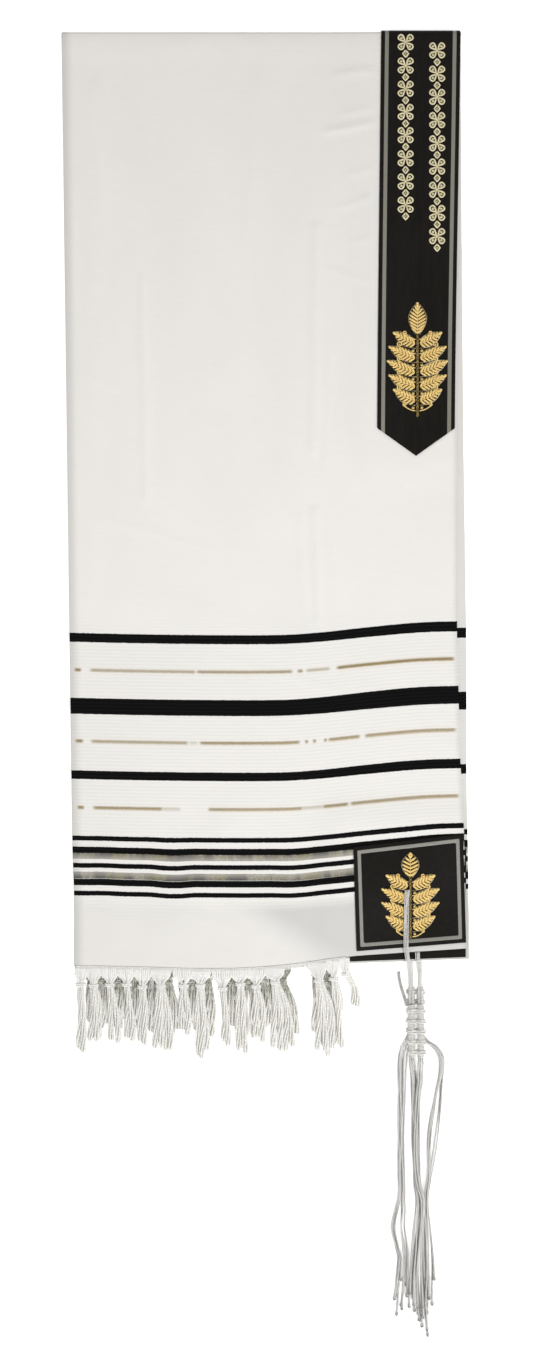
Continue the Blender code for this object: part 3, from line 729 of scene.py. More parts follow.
def makeInnerCloth(material):
    # the two hidden layers, joined by their own small top fold
    wall, gap = cloth["wall"], cloth["gap"]
    radius = (wall + gap) / 2
    topV = 7.5

    def middle(x, v, upper):
        bottom, top = innerBottom(x, v), innerTop(x, v)
        return top - wall / 2 if upper else bottom + wall / 2

    rows, uvRows = [], []
    stations = [(v, "upper") for v in spread(cloth["hem"], (730, 40), (60, 60), (topV + 3, 6))]
    stations += [(topV + 1.5, math.radians(90 - 180 * k / 8)) for k in range(9)]
    lower = spread(topV + 3, (60, 4), (410, 12), (470, 10), (734, 14), (790, 9), (cloth["hem"], 14))
    stations += [(v, "lower") for v in lower]
    for v, side in stations:
        left = read(cloth["leftEdge"], v) + 12.8
        right = read(cloth["innerRightEdge"], v) - (1.2 if side == "lower" else 0.0)
        right += noise.noise(Vector((v / 21.0, 2.0, 9.0 if side == "lower" else 6.0))) * 0.3 + 0.9
        points, uvs = [], []
        for k in range(61):
            x = mix(right, left, k / 60)
            low = read(cloth["innerHem"], x) - (1.0 if side == "lower" else 0.2)
            at = mix(topV, low, (v - topV) / (cloth["hem"] - topV))
            if side in ("upper", "lower"):
                points.append(place(x, at, middle(x, at, side == "upper")))
            else:
                high, lowZ = middle(x, at, True), middle(x, at, False)
                r = (high - lowZ) / 2
                points.append(place(x, at + r - r * math.cos(side), (high + lowZ) / 2 + r * math.sin(side)))
            # the pattern is shifted 6 mm across, so that the strip of this cloth showing past the front
            # panel's edge lies in the right edge's painted shade
            uvs.append(((x + 6.0) * mm, v * mm))
        rows.append(points)
        uvRows.append(uvs)
    return gridSheet("inner_cloth", rows, uvRows, cloth["thread"], material)


clothLook = clothMaterial()
bodyCloth = makeBodyCloth(clothLook)
innerCloth = makeInnerCloth(clothLook)
print("body cloth:", len(bodyCloth.data.polygons), "and inner cloth:", len(innerCloth.data.polygons), "faces")

# Satin neckband and corner patches

band = {
    "thickness": 1.0,
    "width": 77.2,
    "taper": 1.6,
    "inset": 0.6,
    "shoulder": 386.6,
    "point": 413.9,
    "sheetWall": 0.72,
    # woven silver line: way in from the edge, width, dark and light silver, and how bright its brims are
    "line": (5.6, 3.5, (0.18, 0.175, 0.145, 1.0), (0.42, 0.41, 0.34, 1.0), 0.5),
}
patches = {
    "front": ((283.9, 795.1), (391.0, 782.4), (393.8, 888.0), (287.2, 896.4)),
    "inner": ((279.8, 804.0), (394.2, 797.0), (393.6, 902.4), (278.6, 906.8)),
    "back": ((284.0, 790.0), (389.5, 786.0), (390.5, 893.0), (286.0, 896.0)),
    "sheetWall": 0.68,
    "line": (5.5, 3.2, (0.15, 0.145, 0.13, 1.0), (0.42, 0.41, 0.37, 1.0), 0.45),
}
satinLook = {
    "black": (0.004, 0.0035, 0.003, 1.0),
    "blackLight": (0.012, 0.0105, 0.008, 1.0),
    "brim": (0.38, 0.37, 0.33, 1.0),
}


def satinMaterial(name, inset, width, silverDark, silverLight, brims):
    # its UV holds the way in from the nearest edge and the way along, in metres
    material, tree, shader = newMaterial(name)
    fromEdge, along = patternMillimetres(tree)
    line = stripeMask(tree, fromEdge, inset, width / 2, 0.7)
    grain = noiseNode(tree, 90.0, 3.0).outputs["Fac"]
    soft = noiseNode(tree, 24.0, 2.0).outputs["Fac"]
    black = mixColour(tree, soft, satinLook["black"], satinLook["blackLight"])
    zig = maths(tree, "SINE", times(tree, plus(tree, along, times(tree, fromEdge, 0.8)), math.tau / 1.6))
    silver = mixColour(tree, maths(tree, "MULTIPLY_ADD", zig, 0.35, 0.5), silverDark, silverLight)
    silver = mixColour(tree, times(tree, grain, 0.5), silver, silverDark)
    outer, inner = [stripeMask(tree, fromEdge, inset + side * width / 2, 0.35, 0.5) for side in (-1, 1)]
    silver = mixColour(tree, times(tree, larger(tree, outer, inner), brims), silver, satinLook["brim"])
    connect(tree, shader, {
        "Base Color": mixColour(tree, line, black, silver),
        "Roughness": ramp(tree, grain, 0.3, 0.7, 0.38, 0.52),
        "Metallic": times(tree, line, 0.5),
        "Specular IOR Level": 0.11,
        "Anisotropic": 0.4,
    })
    weave = groupNode(tree, "weave", {"Across": fromEdge, "Along": along, "Pitch": 0.5})
    lineHeight = times(tree, line, maths(tree, "MULTIPLY_ADD", zig, 0.5, 1.6))
    bump(tree, shader, plus(tree, times(tree, weave, 0.35), lineHeight), 0.5, 0.14)
    return material


def bandEdges(v):
    taper = band["taper"] * smooth(v / band["shoulder"])
    right = read(cloth["rightEdge"], v) - band["inset"] - taper
    return right - band["width"] + taper, right


def bandPoint(x, at, side, rise):
    # rise runs outward from the face of the outer half
    depth = -cloth["wall"] / 2 - rise
    if side == "front":
        return place(x, at, frontMiddle(x, at) - depth)
    if side == "back":
        return place(x, at, backMiddle(x, at) + depth)
    return foldPoint(x, at, depth, side)


def makeNeckband(material):
    middle = cloth["gap"] + band["thickness"] / 2
    down = spread(band["point"], (band["shoulder"], 14), (8, 120))
    turned = [(4.0, math.radians(90 - 180 * k / 14)) for k in range(15)]
    stations = [(v, "front") for v in down] + turned + [(v, "back") for v in reversed(down)]
    rows, uvRows = [], []
    shares = spread(0, (0.02, 1), (0.05, 1), (0.5, 9), (0.95, 9), (0.98, 1), (1, 1))
    for v, side in stations:
        left, right = bandEdges(min(v, band["shoulder"]))
        points, uvs = [], []
        for t in shares:
            x = mix(left, right, t)
            past = max(v - band["shoulder"], 0.0) / (band["point"] - band["shoulder"])
            slope = 1.0 - abs(2 * t - 1)
            at = v
            if past > 0:
                at = mix(band["shoulder"], mix(band["shoulder"] + 0.3, band["point"], slope), past)
            pressed = 0.10 * (1 - smooth(min(t, 1 - t) / 0.05))
            points.append(bandPoint(x, at, side, middle - pressed))
            sideways = min(t, 1 - t) * (right - left)
            uvs.append((sideways * mm, at * mm))
        rows.append(points)
        uvRows.append(uvs)
    return gridSheet("neckband_satin", rows, uvRows, band["sheetWall"], material)


def patchPlace(corners, s, t):
    upperLeft, upperRight, lowerRight, lowerLeft = corners
    x = mix(mix(upperLeft[0], upperRight[0], t), mix(lowerLeft[0], lowerRight[0], t), s)
    v = mix(mix(upperLeft[1], upperRight[1], t), mix(lowerLeft[1], lowerRight[1], t), s)
    return x, v


def makePatch(name, corners, height, material, lineShift=0.0):
    wide = corners[1][0] - corners[0][0]
    high = corners[3][1] - corners[0][1]
    rows, uvRows = [], []
    shares = spread(0, (0.015, 1), (0.04, 1), (0.12, 6), (0.5, 10), (0.88, 10), (0.96, 6), (0.985, 1), (1, 1))
    for s in shares:
        points, uvs = [], []
        for t in shares:
            x, v = patchPlace(corners, s, t)
            fromEdge = min(t * wide, (1 - t) * wide, s * high, (1 - s) * high)
            pressed = 0.12 * (1 - smooth(fromEdge / 3.0))
            uneven = noise.noise(Vector((x / 19.0, v / 17.0, 1.0))) * 0.05
            points.append(place(x, v, height(x, v) + band["thickness"] / 2 - pressed + uneven))
            uvs.append(((fromEdge - lineShift) * mm, (x + v) * mm))
        rows.append(points)
        uvRows.append(uvs)
    return gridSheet(name, rows, uvRows, patches["sheetWall"], material)


neckbandLook = satinMaterial("neckband_satin", *band["line"])
patchLook = satinMaterial("patch_satin", *patches["line"])
neckband = makeNeckband(neckbandLook)
frontPatch = makePatch("patch_front", patches["front"], lambda x, v: frontTop(x, v) + cloth["gap"], patchLook)
innerPatch = makePatch(
    "patch_inner", patches["inner"], lambda x, v: innerTop(x, v) + cloth["gap"], patchLook, 5.0
)
backPatch = makePatch("patch_back", patches["back"], lambda x, v: 0.1, patchLook)
print("satin neckband and patches")

# Gold embroidery

sprigs = {
    "neckband": {"centre": (346.5, 320.0), "size": (60.0, 112.0), "pairs": 5},
    "corner": {"centre": (339.5, 843.0), "size": (58.0, 86.0), "pairs": 4},
    "rise": 1.1,
    "stitch": 3.1,
    "purl": 0.9,
    "cord": 0.68,
    # dark and light tone of the thread, the dark one being painted shade in the grooves between its wraps,
    # and how metallic
    "look": ((0.80, 0.43, 0.065, 1.0), (1.0, 0.77, 0.21, 1.0), 0.2),
    "glint": (1.0, 0.90, 0.56, 1.0),
    "pale": (1.0, 0.93, 0.66, 1.0),
}
ornament = {
    # middle of each row, its first flower and how many
    "columns": ((334.9, 11.0, 8), (365.6, 19.0, 9)),
    "pitch": 22.6,
    "size": 8.8,
    "thread": 0.84,
    "look": ((0.78, 0.68, 0.40, 1.0), (1.0, 0.95, 0.70, 1.0), 0.15),
}


def goldMaterial(name, dark, light, metal):
    material, tree, shader = newMaterial(name)
    along, around = patternParts(tree)
    turn = sprigs["purl"] * mm
    wrapped = groupNode(tree, "twist", {"Along": along, "Round": around, "Turn": turn, "Plies": 1.0})
    spots = noiseNode(tree, 420.0, 2.0).outputs["Fac"]
    broad = noiseNode(tree, 110.0, 2.0).outputs["Fac"]
    # painted shade and painted highlight: the grooves between the wraps take the dark tone, random patches
    # are painted in shade, and random spots are painted as glints
    tone = mixColour(tree, wrapped, dark, light)
    paintedShade = (dark[0] * 0.6, dark[1] * 0.5, dark[2] * 0.4, 1.0)
    tone = mixColour(tree, ramp(tree, broad, 0.50, 0.62, 0.0, 0.6), tone, paintedShade)
    tone = mixColour(tree, ramp(tree, spots, 0.50, 0.62, 0.0, 0.9), tone, sprigs["glint"])
    marked = maths(tree, "GREATER_THAN", around, 5.0)
    connect(tree, shader, {
        "Base Color": mixColour(tree, times(tree, marked, 0.6), tone, sprigs["pale"]),
        "Metallic": metal,
        "Specular IOR Level": 0.6,
        "Roughness": ramp(tree, spots, 0.3, 0.7, 0.30, 0.50),
    })
    bump(tree, shader, wrapped, 0.8, 0.25)
    return material


def leafSide(base, tip, belly, count):
    (x0, v0), (x1, v1) = base, tip
    run = math.hypot(x1 - x0, v1 - v0)
    nx, nv = -(v1 - v0) / run, (x1 - x0) / run
    points = []
    for k in range(count + 1):
        t = k / count
        out = belly * math.sin(math.pi * t)
        points.append((mix(x0, x1, t) + nx * out, mix(v0, v1, t) + nv * out))
    return points


def addLeaf(pile, lower, upper, baseZ, rise):
    # padded bars that slant from the middle vein out to both edges
    lower, upper = np.array(lower), np.array(upper)
    middle = (lower + upper) / 2
    length = np.concatenate([[0], np.cumsum(np.linalg.norm(np.diff(middle, axis=0), axis=1))])
    count = max(int(length[-1] / sprigs["stitch"]), 5)
    stations = np.linspace(0, 1, len(lower))
    for edge in (lower, upper):
        for k in range(count):
            start = (k + 0.25) / count
            end = min(start + 0.17, 0.985)
            inner = [np.interp(start, stations, middle[:, i]) for i in (0, 1)]
            outer = [np.interp(end, stations, edge[:, i]) for i in (0, 1)]
            reach = math.hypot(outer[0] - inner[0], outer[1] - inner[1])
            if reach < 0.8:
                continue
            bar = []
            for t in np.linspace(0.0, 0.94, 7):
                arch = math.sin(math.pi * min(max(t * 0.86 + 0.12, 0.0), 1.0))
                height = baseZ + 0.15 + (rise - 0.55) * arch
                bar.append((mix(inner[0], outer[0], t), mix(inner[1], outer[1], t), height))
            thick = sprigs["stitch"] * 0.36
            radii = [thick * share for share in (0.7, 0.95, 1.0, 1.0, 1.0, 0.95, 0.7)]
            addTube(pile, np.array(bar), radii, sides=7, flat=0.8)


def makeSprig(name, sprig, baseZ, material):
    pile = newPile()
    cx, cv = sprig["centre"]
    width, height = sprig["size"]
    stem = width * 0.035
    foot = cv + height / 2
    leafTop = cv - height * 0.22
    spacing = (foot - leafTop - height * 0.10) / sprig["pairs"]
    rise = sprigs["rise"]
    cord = sprigs["cord"]
    outlines = []
    for sign in (1, -1):
        for k in range(sprig["pairs"]):
            low = foot - height * 0.10 - spacing * k
            high = low - spacing * 0.60
            reach = width / 2 * (0.60 + 0.40 * math.sin(math.pi * (k + 1) / (sprig["pairs"] + 1)))
            tip = (reach, low - spacing * 1.15)
            lower = leafSide((stem, low), tip, spacing * 0.35, 16)
            upper = leafSide((stem, high), tip, -spacing * 0.22, 16)
            outlines.append([[(cx + sign * x, v) for x, v in edge] for edge in (lower, upper)])
    top = (0.0, cv - height / 2)
    right = leafSide((stem, leafTop), top, width * 0.13, 16)
    left = [(-x, v) for x, v in right]
    outlines.append([[(cx + x, v) for x, v in edge] for edge in (right, left)])
    for lower, upper in outlines:
        addLeaf(pile, lower, upper, baseZ, rise)
        loop = lower + upper[::-1][1:]
        path = evenly(np.array([(x, v, baseZ + cord * 0.9) for x, v in loop]), 1.1)
        addTube(pile, path, cord, sides=6, lobes=2, lobeDepth=0.35, turn=2.2, marked=True)
        vein = [
            (mix(a[0], b[0], 0.5), mix(a[1], b[1], 0.5), baseZ + rise * 0.55)
            for a, b in zip(lower[1:-3], upper[1:-3])
        ]
        addTube(pile, evenly(np.array(vein), 1.2), cord * 0.7, sides=5)
    for k in range(sprig["pairs"]):
        low = foot - height * 0.10 - spacing * k
        for sign in (1, -1):
            addBead(pile, cx + sign * (stem + 2.2), low + spacing * 0.16, baseZ, 1.5)
    for k in range(sprig["pairs"] + 1):
        low = foot - height * 0.10 - spacing * (k - 0.36)
        for sign in (1, -1):
            curl = width * (0.25 if 0 < k < sprig["pairs"] else 0.17)
            addTendril(pile, cx + sign * stem, low, sign, curl, baseZ, cord)
    for sign in (-1, 1):
        stalk = [
            (cx + sign * (0.55 + 0.25 * math.sin(v * 1.7)), v, baseZ + 0.75)
            for v in np.arange(leafTop, foot, 1.2)
        ]
        addTube(pile, stalk, 0.62, sides=7, lobes=3, lobeDepth=0.3, turn=3.0)
    return pileObject(name, pile, material)


def addTendril(pile, x, v, sign, reach, baseZ, cord):
    # a thin cord that runs out and curls up at its end
    path = []
    for s in np.linspace(0, 1, 34):
        if s < 0.5:
            k = s / 0.5
            path.append((x + sign * reach * k, v - reach * 0.42 * k * k, baseZ + cord))
        else:
            k = (s - 0.5) / 0.5
            size = reach * 0.20 * (1 - 0.72 * k)
            a = -math.pi / 2 + k * math.tau * 1.25
            middleX, middleV = x + sign * reach, v - reach * 0.42 - reach * 0.20
            curlX, curlV = middleX + sign * size * math.cos(a), middleV - size * math.sin(a)
            path.append((curlX, curlV, baseZ + cord + k * 0.3))
    addTube(pile, evenly(np.array(path), 0.7), cord, sides=5)


def addBead(pile, x, v, baseZ, radius):
    # a small padded knot
    rings, sides = 5, 9
    start = pile["count"]
    points, uvs = [], []
    for k in range(rings):
        lift = k / (rings - 1) * math.pi / 2
        for i in range(sides):
            a = math.tau * i / sides
            r = radius * math.cos(lift * 0.96)
            points.append((x + r * math.cos(a), v + r * math.sin(a), baseZ + radius * 0.75 * math.sin(lift)))
            uvs.append((i / sides * mm * 9, k * mm))
    pile["verts"].append(np.array(points))
    pile["uvs"].append(np.array(uvs))
    for k in range(rings - 1):
        for i in range(sides):
            j = (i + 1) % sides
            a = start + k * sides
            pile["faces"].append((a + i, a + j, a + sides + j, a + sides + i))
    pile["faces"].append(tuple(start + i for i in reversed(range(sides))))
    pile["faces"].append(tuple(start + (rings - 1) * sides + i for i in range(sides)))
    pile["count"] += rings * sides


def makeOrnament(material):
    # two running rows of four-petal flowers and lozenges, on both sides of the top fold
    pile = newPile()
    size, thread = ornament["size"], ornament["thread"]
    for side in ("front", "back"):
        for column, first, count in ornament["columns"]:
            for k in range(count):
                v = first + ornament["pitch"] * k
                if side == "front":
                    lift, sense = frontTop(column, v) + cloth["gap"] + band["thickness"] * 0.86, 1
                else:
                    lift, sense = 0.16, -1
                addFlower(pile, column, v, lift, sense, size, thread)
                addLozenge(pile, column, v + ornament["pitch"] / 2, lift, sense, size * 0.32, thread)
    return pileObject("neckband_rows", pile, material)


def addFlower(pile, x, v, lift, sense, size, thread):
    raised = thread * (0.8 if sense > 0 else 0.1)
    for k in range(4):
        a = math.pi / 4 + k * math.pi / 2
        ux, uv = math.cos(a), math.sin(a)
        loop = []
        for s in np.linspace(0, 1, 13):
            along = size * (0.16 + 0.84 * math.sin(math.pi * min(s, 1 - s)))
            aside = size * 0.30 * math.sin(math.tau * s)
            loop.append((x + ux * along - uv * aside, v + uv * along + ux * aside, lift + raised))
        addTube(pile, np.array(loop), thread, sides=6, flat=0.75 if sense > 0 else 0.2)
        if sense > 0:
            addBead(pile, x + ux * size * 0.66, v + uv * size * 0.66, lift, size * 0.16)
    if sense > 0:
        addBead(pile, x, v, lift, size * 0.20)


def addLozenge(pile, x, v, lift, sense, size, thread):
    raised = thread * (0.8 if sense > 0 else 0.1)
    corners = ((0, -1.2), (1.0, 0), (0, 1.2), (-1.0, 0), (0, -1.2))
    path = []
    for (x0, v0), (x1, v1) in zip(corners, corners[1:]):
        for s in (0.0, 0.33, 0.67):
            path.append((x + size * mix(x0, x1, s), v + size * mix(v0, v1, s), lift + raised))
    path.append(path[0])
    addTube(pile, np.array(path), thread, sides=6, flat=0.75 if sense > 0 else 0.2)
    if sense > 0:
        addBead(pile, x, v, lift, size * 0.36)


goldLook = goldMaterial("gold_thread", *sprigs["look"])
paleGoldLook = goldMaterial("pale_gold_thread", *ornament["look"])
bandTop = frontTop(*sprigs["neckband"]["centre"]) + cloth["gap"] + band["thickness"] * 0.86
patchTop = frontTop(*sprigs["corner"]["centre"]) + cloth["gap"] + band["thickness"] * 0.84
neckbandSprig = makeSprig("neckband_sprig", sprigs["neckband"], bandTop, goldLook)
cornerSprig = makeSprig("corner_sprig", sprigs["corner"], patchTop, goldLook)
neckbandRows = makeOrnament(paleGoldLook)
print("gold embroidery")

# Fringe

fringe = {
    # x of the root, x of the tip, length and width of each lock
    "locks": (
        (18.0, 18.4, 85.4, 9.0),
        (30.2, 32.8, 74.9, 12.0),
        (45.8, 49.6, 76.7, 11.0),
        (62.4, 64.9, 74.0, 10.0),
        (78.0, 79.0, 78.5, 10.0),
        (95.6, 99.1, 83.0, 17.0),
        (118.0, 121.4, 65.0, 9.0),
        (134.6, 137.5, 88.0, 14.0),
        (156.0, 160.9, 76.0, 8.0),
        (173.6, 176.3, 85.0, 11.0),
        (188.6, 192.2, 74.0, 9.0),
        (206.5, 213.5, 84.0, 20.0),
        (249.6, 255.4, 95.0, 18.0),
        (264.0, 272.0, 88.0, 9.0),
        (275.5, 286.0, 50.0, 6.0),
    ),
    "knotAt": 17.5,
    "netDepth": 6.0,
    "yarn": 1.08,
    "fuller": 1.30,
    "fingerPitch": 5.9,
    "fingerRound": 1.75,
    "knotHalf": 2.6,
    "front": {"yarns": 5, "rings": 34, "sides": 7, "lift": 1.0, "raised": 0.7},
    "hidden": {"yarns": 4, "rings": 20, "sides": 5, "lift": 0.4, "raised": 0.0},
    # farthest that a lock's yarns reach along the hem
    "gather": 9.5,
    # threads of the heading: way down from the hem and share of the raise
    "headingThreads": ((0.1, 1.0), (1.2, 0.85), (2.4, 0.5), (3.8, 0.0)),
    "headingThread": 0.68,
    "headingEnd": 279.0,
    # net of slanting threads: pitch, how far down at a lock and between locks, lean and thickness
    "net": (4.6, 10.4, 2.4, 0.22, 0.62),
}
yarnLooks = {
    # dark tone, which is painted shade in the grooves of the twist, light and worn tone, how pale the roots
    # are and how deep the painted shade near them is, and the tone of marked yarns
    "white_yarn": (
        (0.76, 0.75, 0.71, 1.0), (0.93, 0.92, 0.88, 1.0), (0.60, 0.59, 0.53, 1.0),
        0.9, 0.0, (0.90, 0.885, 0.855, 1.0),
    ),
    # the cord's marked tone, darker, is painted shade on the windings and knots
    "white_cord": (
        (0.91, 0.90, 0.87, 1.0), (0.97, 0.96, 0.93, 1.0), (0.79, 0.78, 0.74, 1.0),
        0.0, 0.0, (0.66, 0.65, 0.61, 1.0),
    ),
    # the hidden fringes' yarn: the same white yarn painted darker throughout, as painted shade beneath the
    # front locks
    "shaded_yarn": (
        (0.72, 0.71, 0.66, 1.0), (0.90, 0.89, 0.84, 1.0), (0.52, 0.51, 0.45, 1.0),
        0.0, 0.9, (0.90, 0.885, 0.855, 1.0),
    ),
}


def yarnMaterial(name):
    dark, light, worn, rootPale, rootDark, markedTone = yarnLooks[name]
    material, tree, shader = newMaterial(name)
    along, around = patternParts(tree)
    twist = groupNode(tree, "twist", {"Along": along, "Round": around, "Turn": 0.0032, "Plies": 2.0})
    fibre = noiseNode(tree, 500.0, 2.0).outputs["Fac"]
    patchy = noiseNode(tree, 45.0, 2.0).outputs["Fac"]
    # painted shade: the grooves of the twist take the dark tone
    tone = mixColour(tree, twist, dark, light)
    tone = mixColour(tree, ramp(tree, patchy, 0.40, 0.62, 0.0, 0.6), tone, worn)
    if rootDark:
        # painted shade: uneven dark patches near the roots of the yarns behind the front locks, where those
        # locks cast shade
        paintedShade = ramp(tree, along, 0.024, 0.050, rootDark, 0.0)
        deeper = ramp(tree, noiseNode(tree, 26.0, 1.0).outputs["Fac"], 0.40, 0.60, 0.25, 1.0)
        tone = mixColour(tree, times(tree, paintedShade, deeper), tone, (0.15, 0.145, 0.095, 1.0))
    nearRoot = ramp(tree, along, 0.012, 0.022, rootPale, 0.0)
    pale = larger(tree, maths(tree, "GREATER_THAN", around, 5.0), nearRoot)
    connect(tree, shader, {
        "Base Color": mixColour(tree, times(tree, pale, 0.85), tone, markedTone),
        "Subsurface Weight": 0.25,
        "Subsurface Radius": (1.0, 1.0, 1.0),
        "Subsurface Scale": 0.0015,
        "Roughness": ramp(tree, fibre, 0.3, 0.7, 0.55, 0.75),
        "Sheen Weight": 0.2,
        "Specular IOR Level": 0.3,
    })
    bump(tree, shader, plus(tree, twist, times(tree, fibre, 0.5)), 0.6, 0.2)
    return material


def addLock(pile, rand, lock, reaches, hemV, rootZ, tipZ, shorter, detail):
    # yarns leave the hem side by side, meet at a knot, then fall as a few soft fingers
    root, tip, length, width = lock
    length *= shorter
    width *= fringe["fuller"]
    top = hemV(root) + 0.25
    tip += rand.uniform(-2.0, 2.0)
    knotX = mix(root, tip, 0.15)
    knotAt = fringe["knotAt"] * rand.uniform(0.85, 1.12)
    fingers = max(round(width / fringe["fingerPitch"]), 2)
    yarns = detail["yarns"]
    stations = np.concatenate([np.linspace(0, 0.985, detail["rings"] - 2), [0.994, 1.0]])
    radius = fringe["yarn"] * np.concatenate([np.full(detail["rings"] - 2, 1.0), [0.85, 0.5]])
    for finger in range(fingers):
        share = (finger + 0.5) / fingers * 2 - 1
        fingerTip = tip + share * (width * 0.5 - 1.6) + rand.uniform(-1.4, 1.4)
        reach = length * (1.0 - 0.05 * share * share) * rand.uniform(0.93, 1.0)
        if finger == fingers // 2:
            reach = length * rand.uniform(0.97, 1.0)
        lift = (finger % 2) * 1.4 * detail["lift"]
        swing, lag = rand.uniform(0.5, 1.5), rand.uniform(0, math.tau)
        spin = rand.uniform(0, math.tau)
        for y in range(yarns):
            angle = spin + math.tau * y / yarns
            along = share + (y / max(yarns - 1, 1) - 0.5) * 1.9 / fingers
            rootX = root + along * (reaches[0] if along < 0 else reaches[1])
            path = []
            for s in stations:
                d = s * (reach - 0.5 * (y % 3))
                turned = angle + d / 15.0
                if d < knotAt:
                    k = smooth((d - fringe["netDepth"]) / (knotAt - fringe["netDepth"]))
                    x = mix(rootX, knotX + share * fringe["knotHalf"], k)
                    reachOut = 1.0 * k
                else:
                    k = (d - knotAt) / (reach - knotAt)
                    flare = math.sin(min(k / 0.7, 1.0) * math.pi / 2)
                    x = mix(knotX + share * fringe["knotHalf"], fingerTip, flare)
                    closing = 1.0 - 0.55 * smooth((k - 0.95) / 0.05)
                    rounder = fringe["fingerRound"] * mix(1.0, 1.25, k)
                    reachOut = mix(1.0, rounder, min(k / 0.25, 1.0)) * closing
                    x += swing * math.sin(d / 11.0 + lag) * smooth(k * 3.0)
                z = mix(rootZ(x, top), tipZ + 1.4, smooth(s * 1.3)) + lift * smooth(s * 3.0)
                x += reachOut * math.cos(turned)
                z += reachOut * 0.75 * math.sin(turned)
                path.append((x, top + d, max(z, fringe["yarn"] + 0.1)))
            addTube(pile, path, radius, sides=detail["sides"])
    # a yarn wound round the gathered lock
    for turn in range(2):
        at = top + knotAt + turn * 1.6 - 0.6
        z = mix(rootZ(knotX, top), tipZ + 1.4, smooth(knotAt / length * 1.3)) + 0.3
        half, lowest = fringe["knotHalf"] + 1.9, fringe["yarn"] + 0.1
        ring = [
            (knotX + half * math.cos(a), at + 0.6 * math.sin(a), max(z + 1.9 * math.sin(a), lowest))
            for a in np.linspace(0, math.tau, 15)
        ]
        addTube(pile, ring, fringe["yarn"] * 0.8, sides=6)


def makeFringe(name, hemV, rootZ, tipZ, locks, shorter, detail, start, seed, material):
    rand = random.Random(seed)
    pile = newPile()
    roots = [lock[0] for lock in locks]
    for number, lock in enumerate(locks):
        leftGap = lock[0] - roots[number - 1] if number else 9.0
        rightGap = roots[number + 1] - lock[0] if number + 1 < len(locks) else 8.0
        reaches = [min(gap / 2, fringe["gather"]) for gap in (leftGap, rightGap)]
        addLock(pile, rand, lock, reaches, hemV, rootZ, tipZ, shorter, fringe[detail])
    # heading: twisted threads, and a net of slanting ones that is deep only where locks hang
    stations = np.arange(start, fringe["headingEnd"], 2.0)
    for shift, share in fringe["headingThreads"]:
        lift = fringe[detail]["raised"] * share
        line = [(x, hemV(x) + shift, rootZ(x, hemV(x)) + lift) for x in stations]
        addTube(pile, line, fringe["headingThread"], sides=6, lobes=2, lobeDepth=0.25, turn=2.8, marked=True)
    pitch, deep, shallow, lean, thread = fringe["net"]
    for x in np.arange(start + 1.0, fringe["headingEnd"] - 3.0, pitch):
        drop = deep if any(abs(x - root) < 9.0 for root in roots) else shallow
        z = rootZ(x, hemV(x)) + 0.45
        for slant in (-lean * drop, lean * drop):
            down = (0.0, 0.25, 0.5, 0.75, 1.0)
            net = [(x + slant * t, hemV(x) + 0.6 + drop * t, z - 1.6 * t) for t in down]
            addTube(pile, net, thread, sides=5, marked=True)
    return pileObject(name, pile, material)


def frontHem(x):
    return frontRow(x, cloth["hem"])


def innerHem(x):
    return read(cloth["innerHem"], x)


def backHem(x):
    return read(cloth["backHem"], x)


def hiddenMiddle(x, v):
    return backMiddle(x, v) + (cloth["wall"] + cloth["gap"]) * 1.5


yarnLook, cordLook, shadedLook = [yarnMaterial(name) for name in yarnLooks]
hiddenLocks = fringe["locks"][1:-1]


def shifted(locks, aside):
    return [(root + aside, tip + aside * 0.8, length, width) for root, tip, length, width in locks]


frontFringe = makeFringe(
    "fringe_yarn_front", frontHem, frontMiddle, 1.6, fringe["locks"], 1.0, "front", 13.0, 11, yarnLook
)
innerFringe = makeFringe(
    "fringe_yarn_inner", innerHem, hiddenMiddle, 0.4, shifted(hiddenLocks[:-1], 7.0), 0.88,
    "hidden", 25.5, 12, shadedLook,
)
backFringe = makeFringe(
    "fringe_yarn_back", backHem, backMiddle, 0.0, shifted(hiddenLocks, -2.5), 0.84,
    "hidden", 25.5, 13, shadedLook,
)
print("fringe:", len(frontFringe.data.polygons), "faces in front")

# Tzitzit

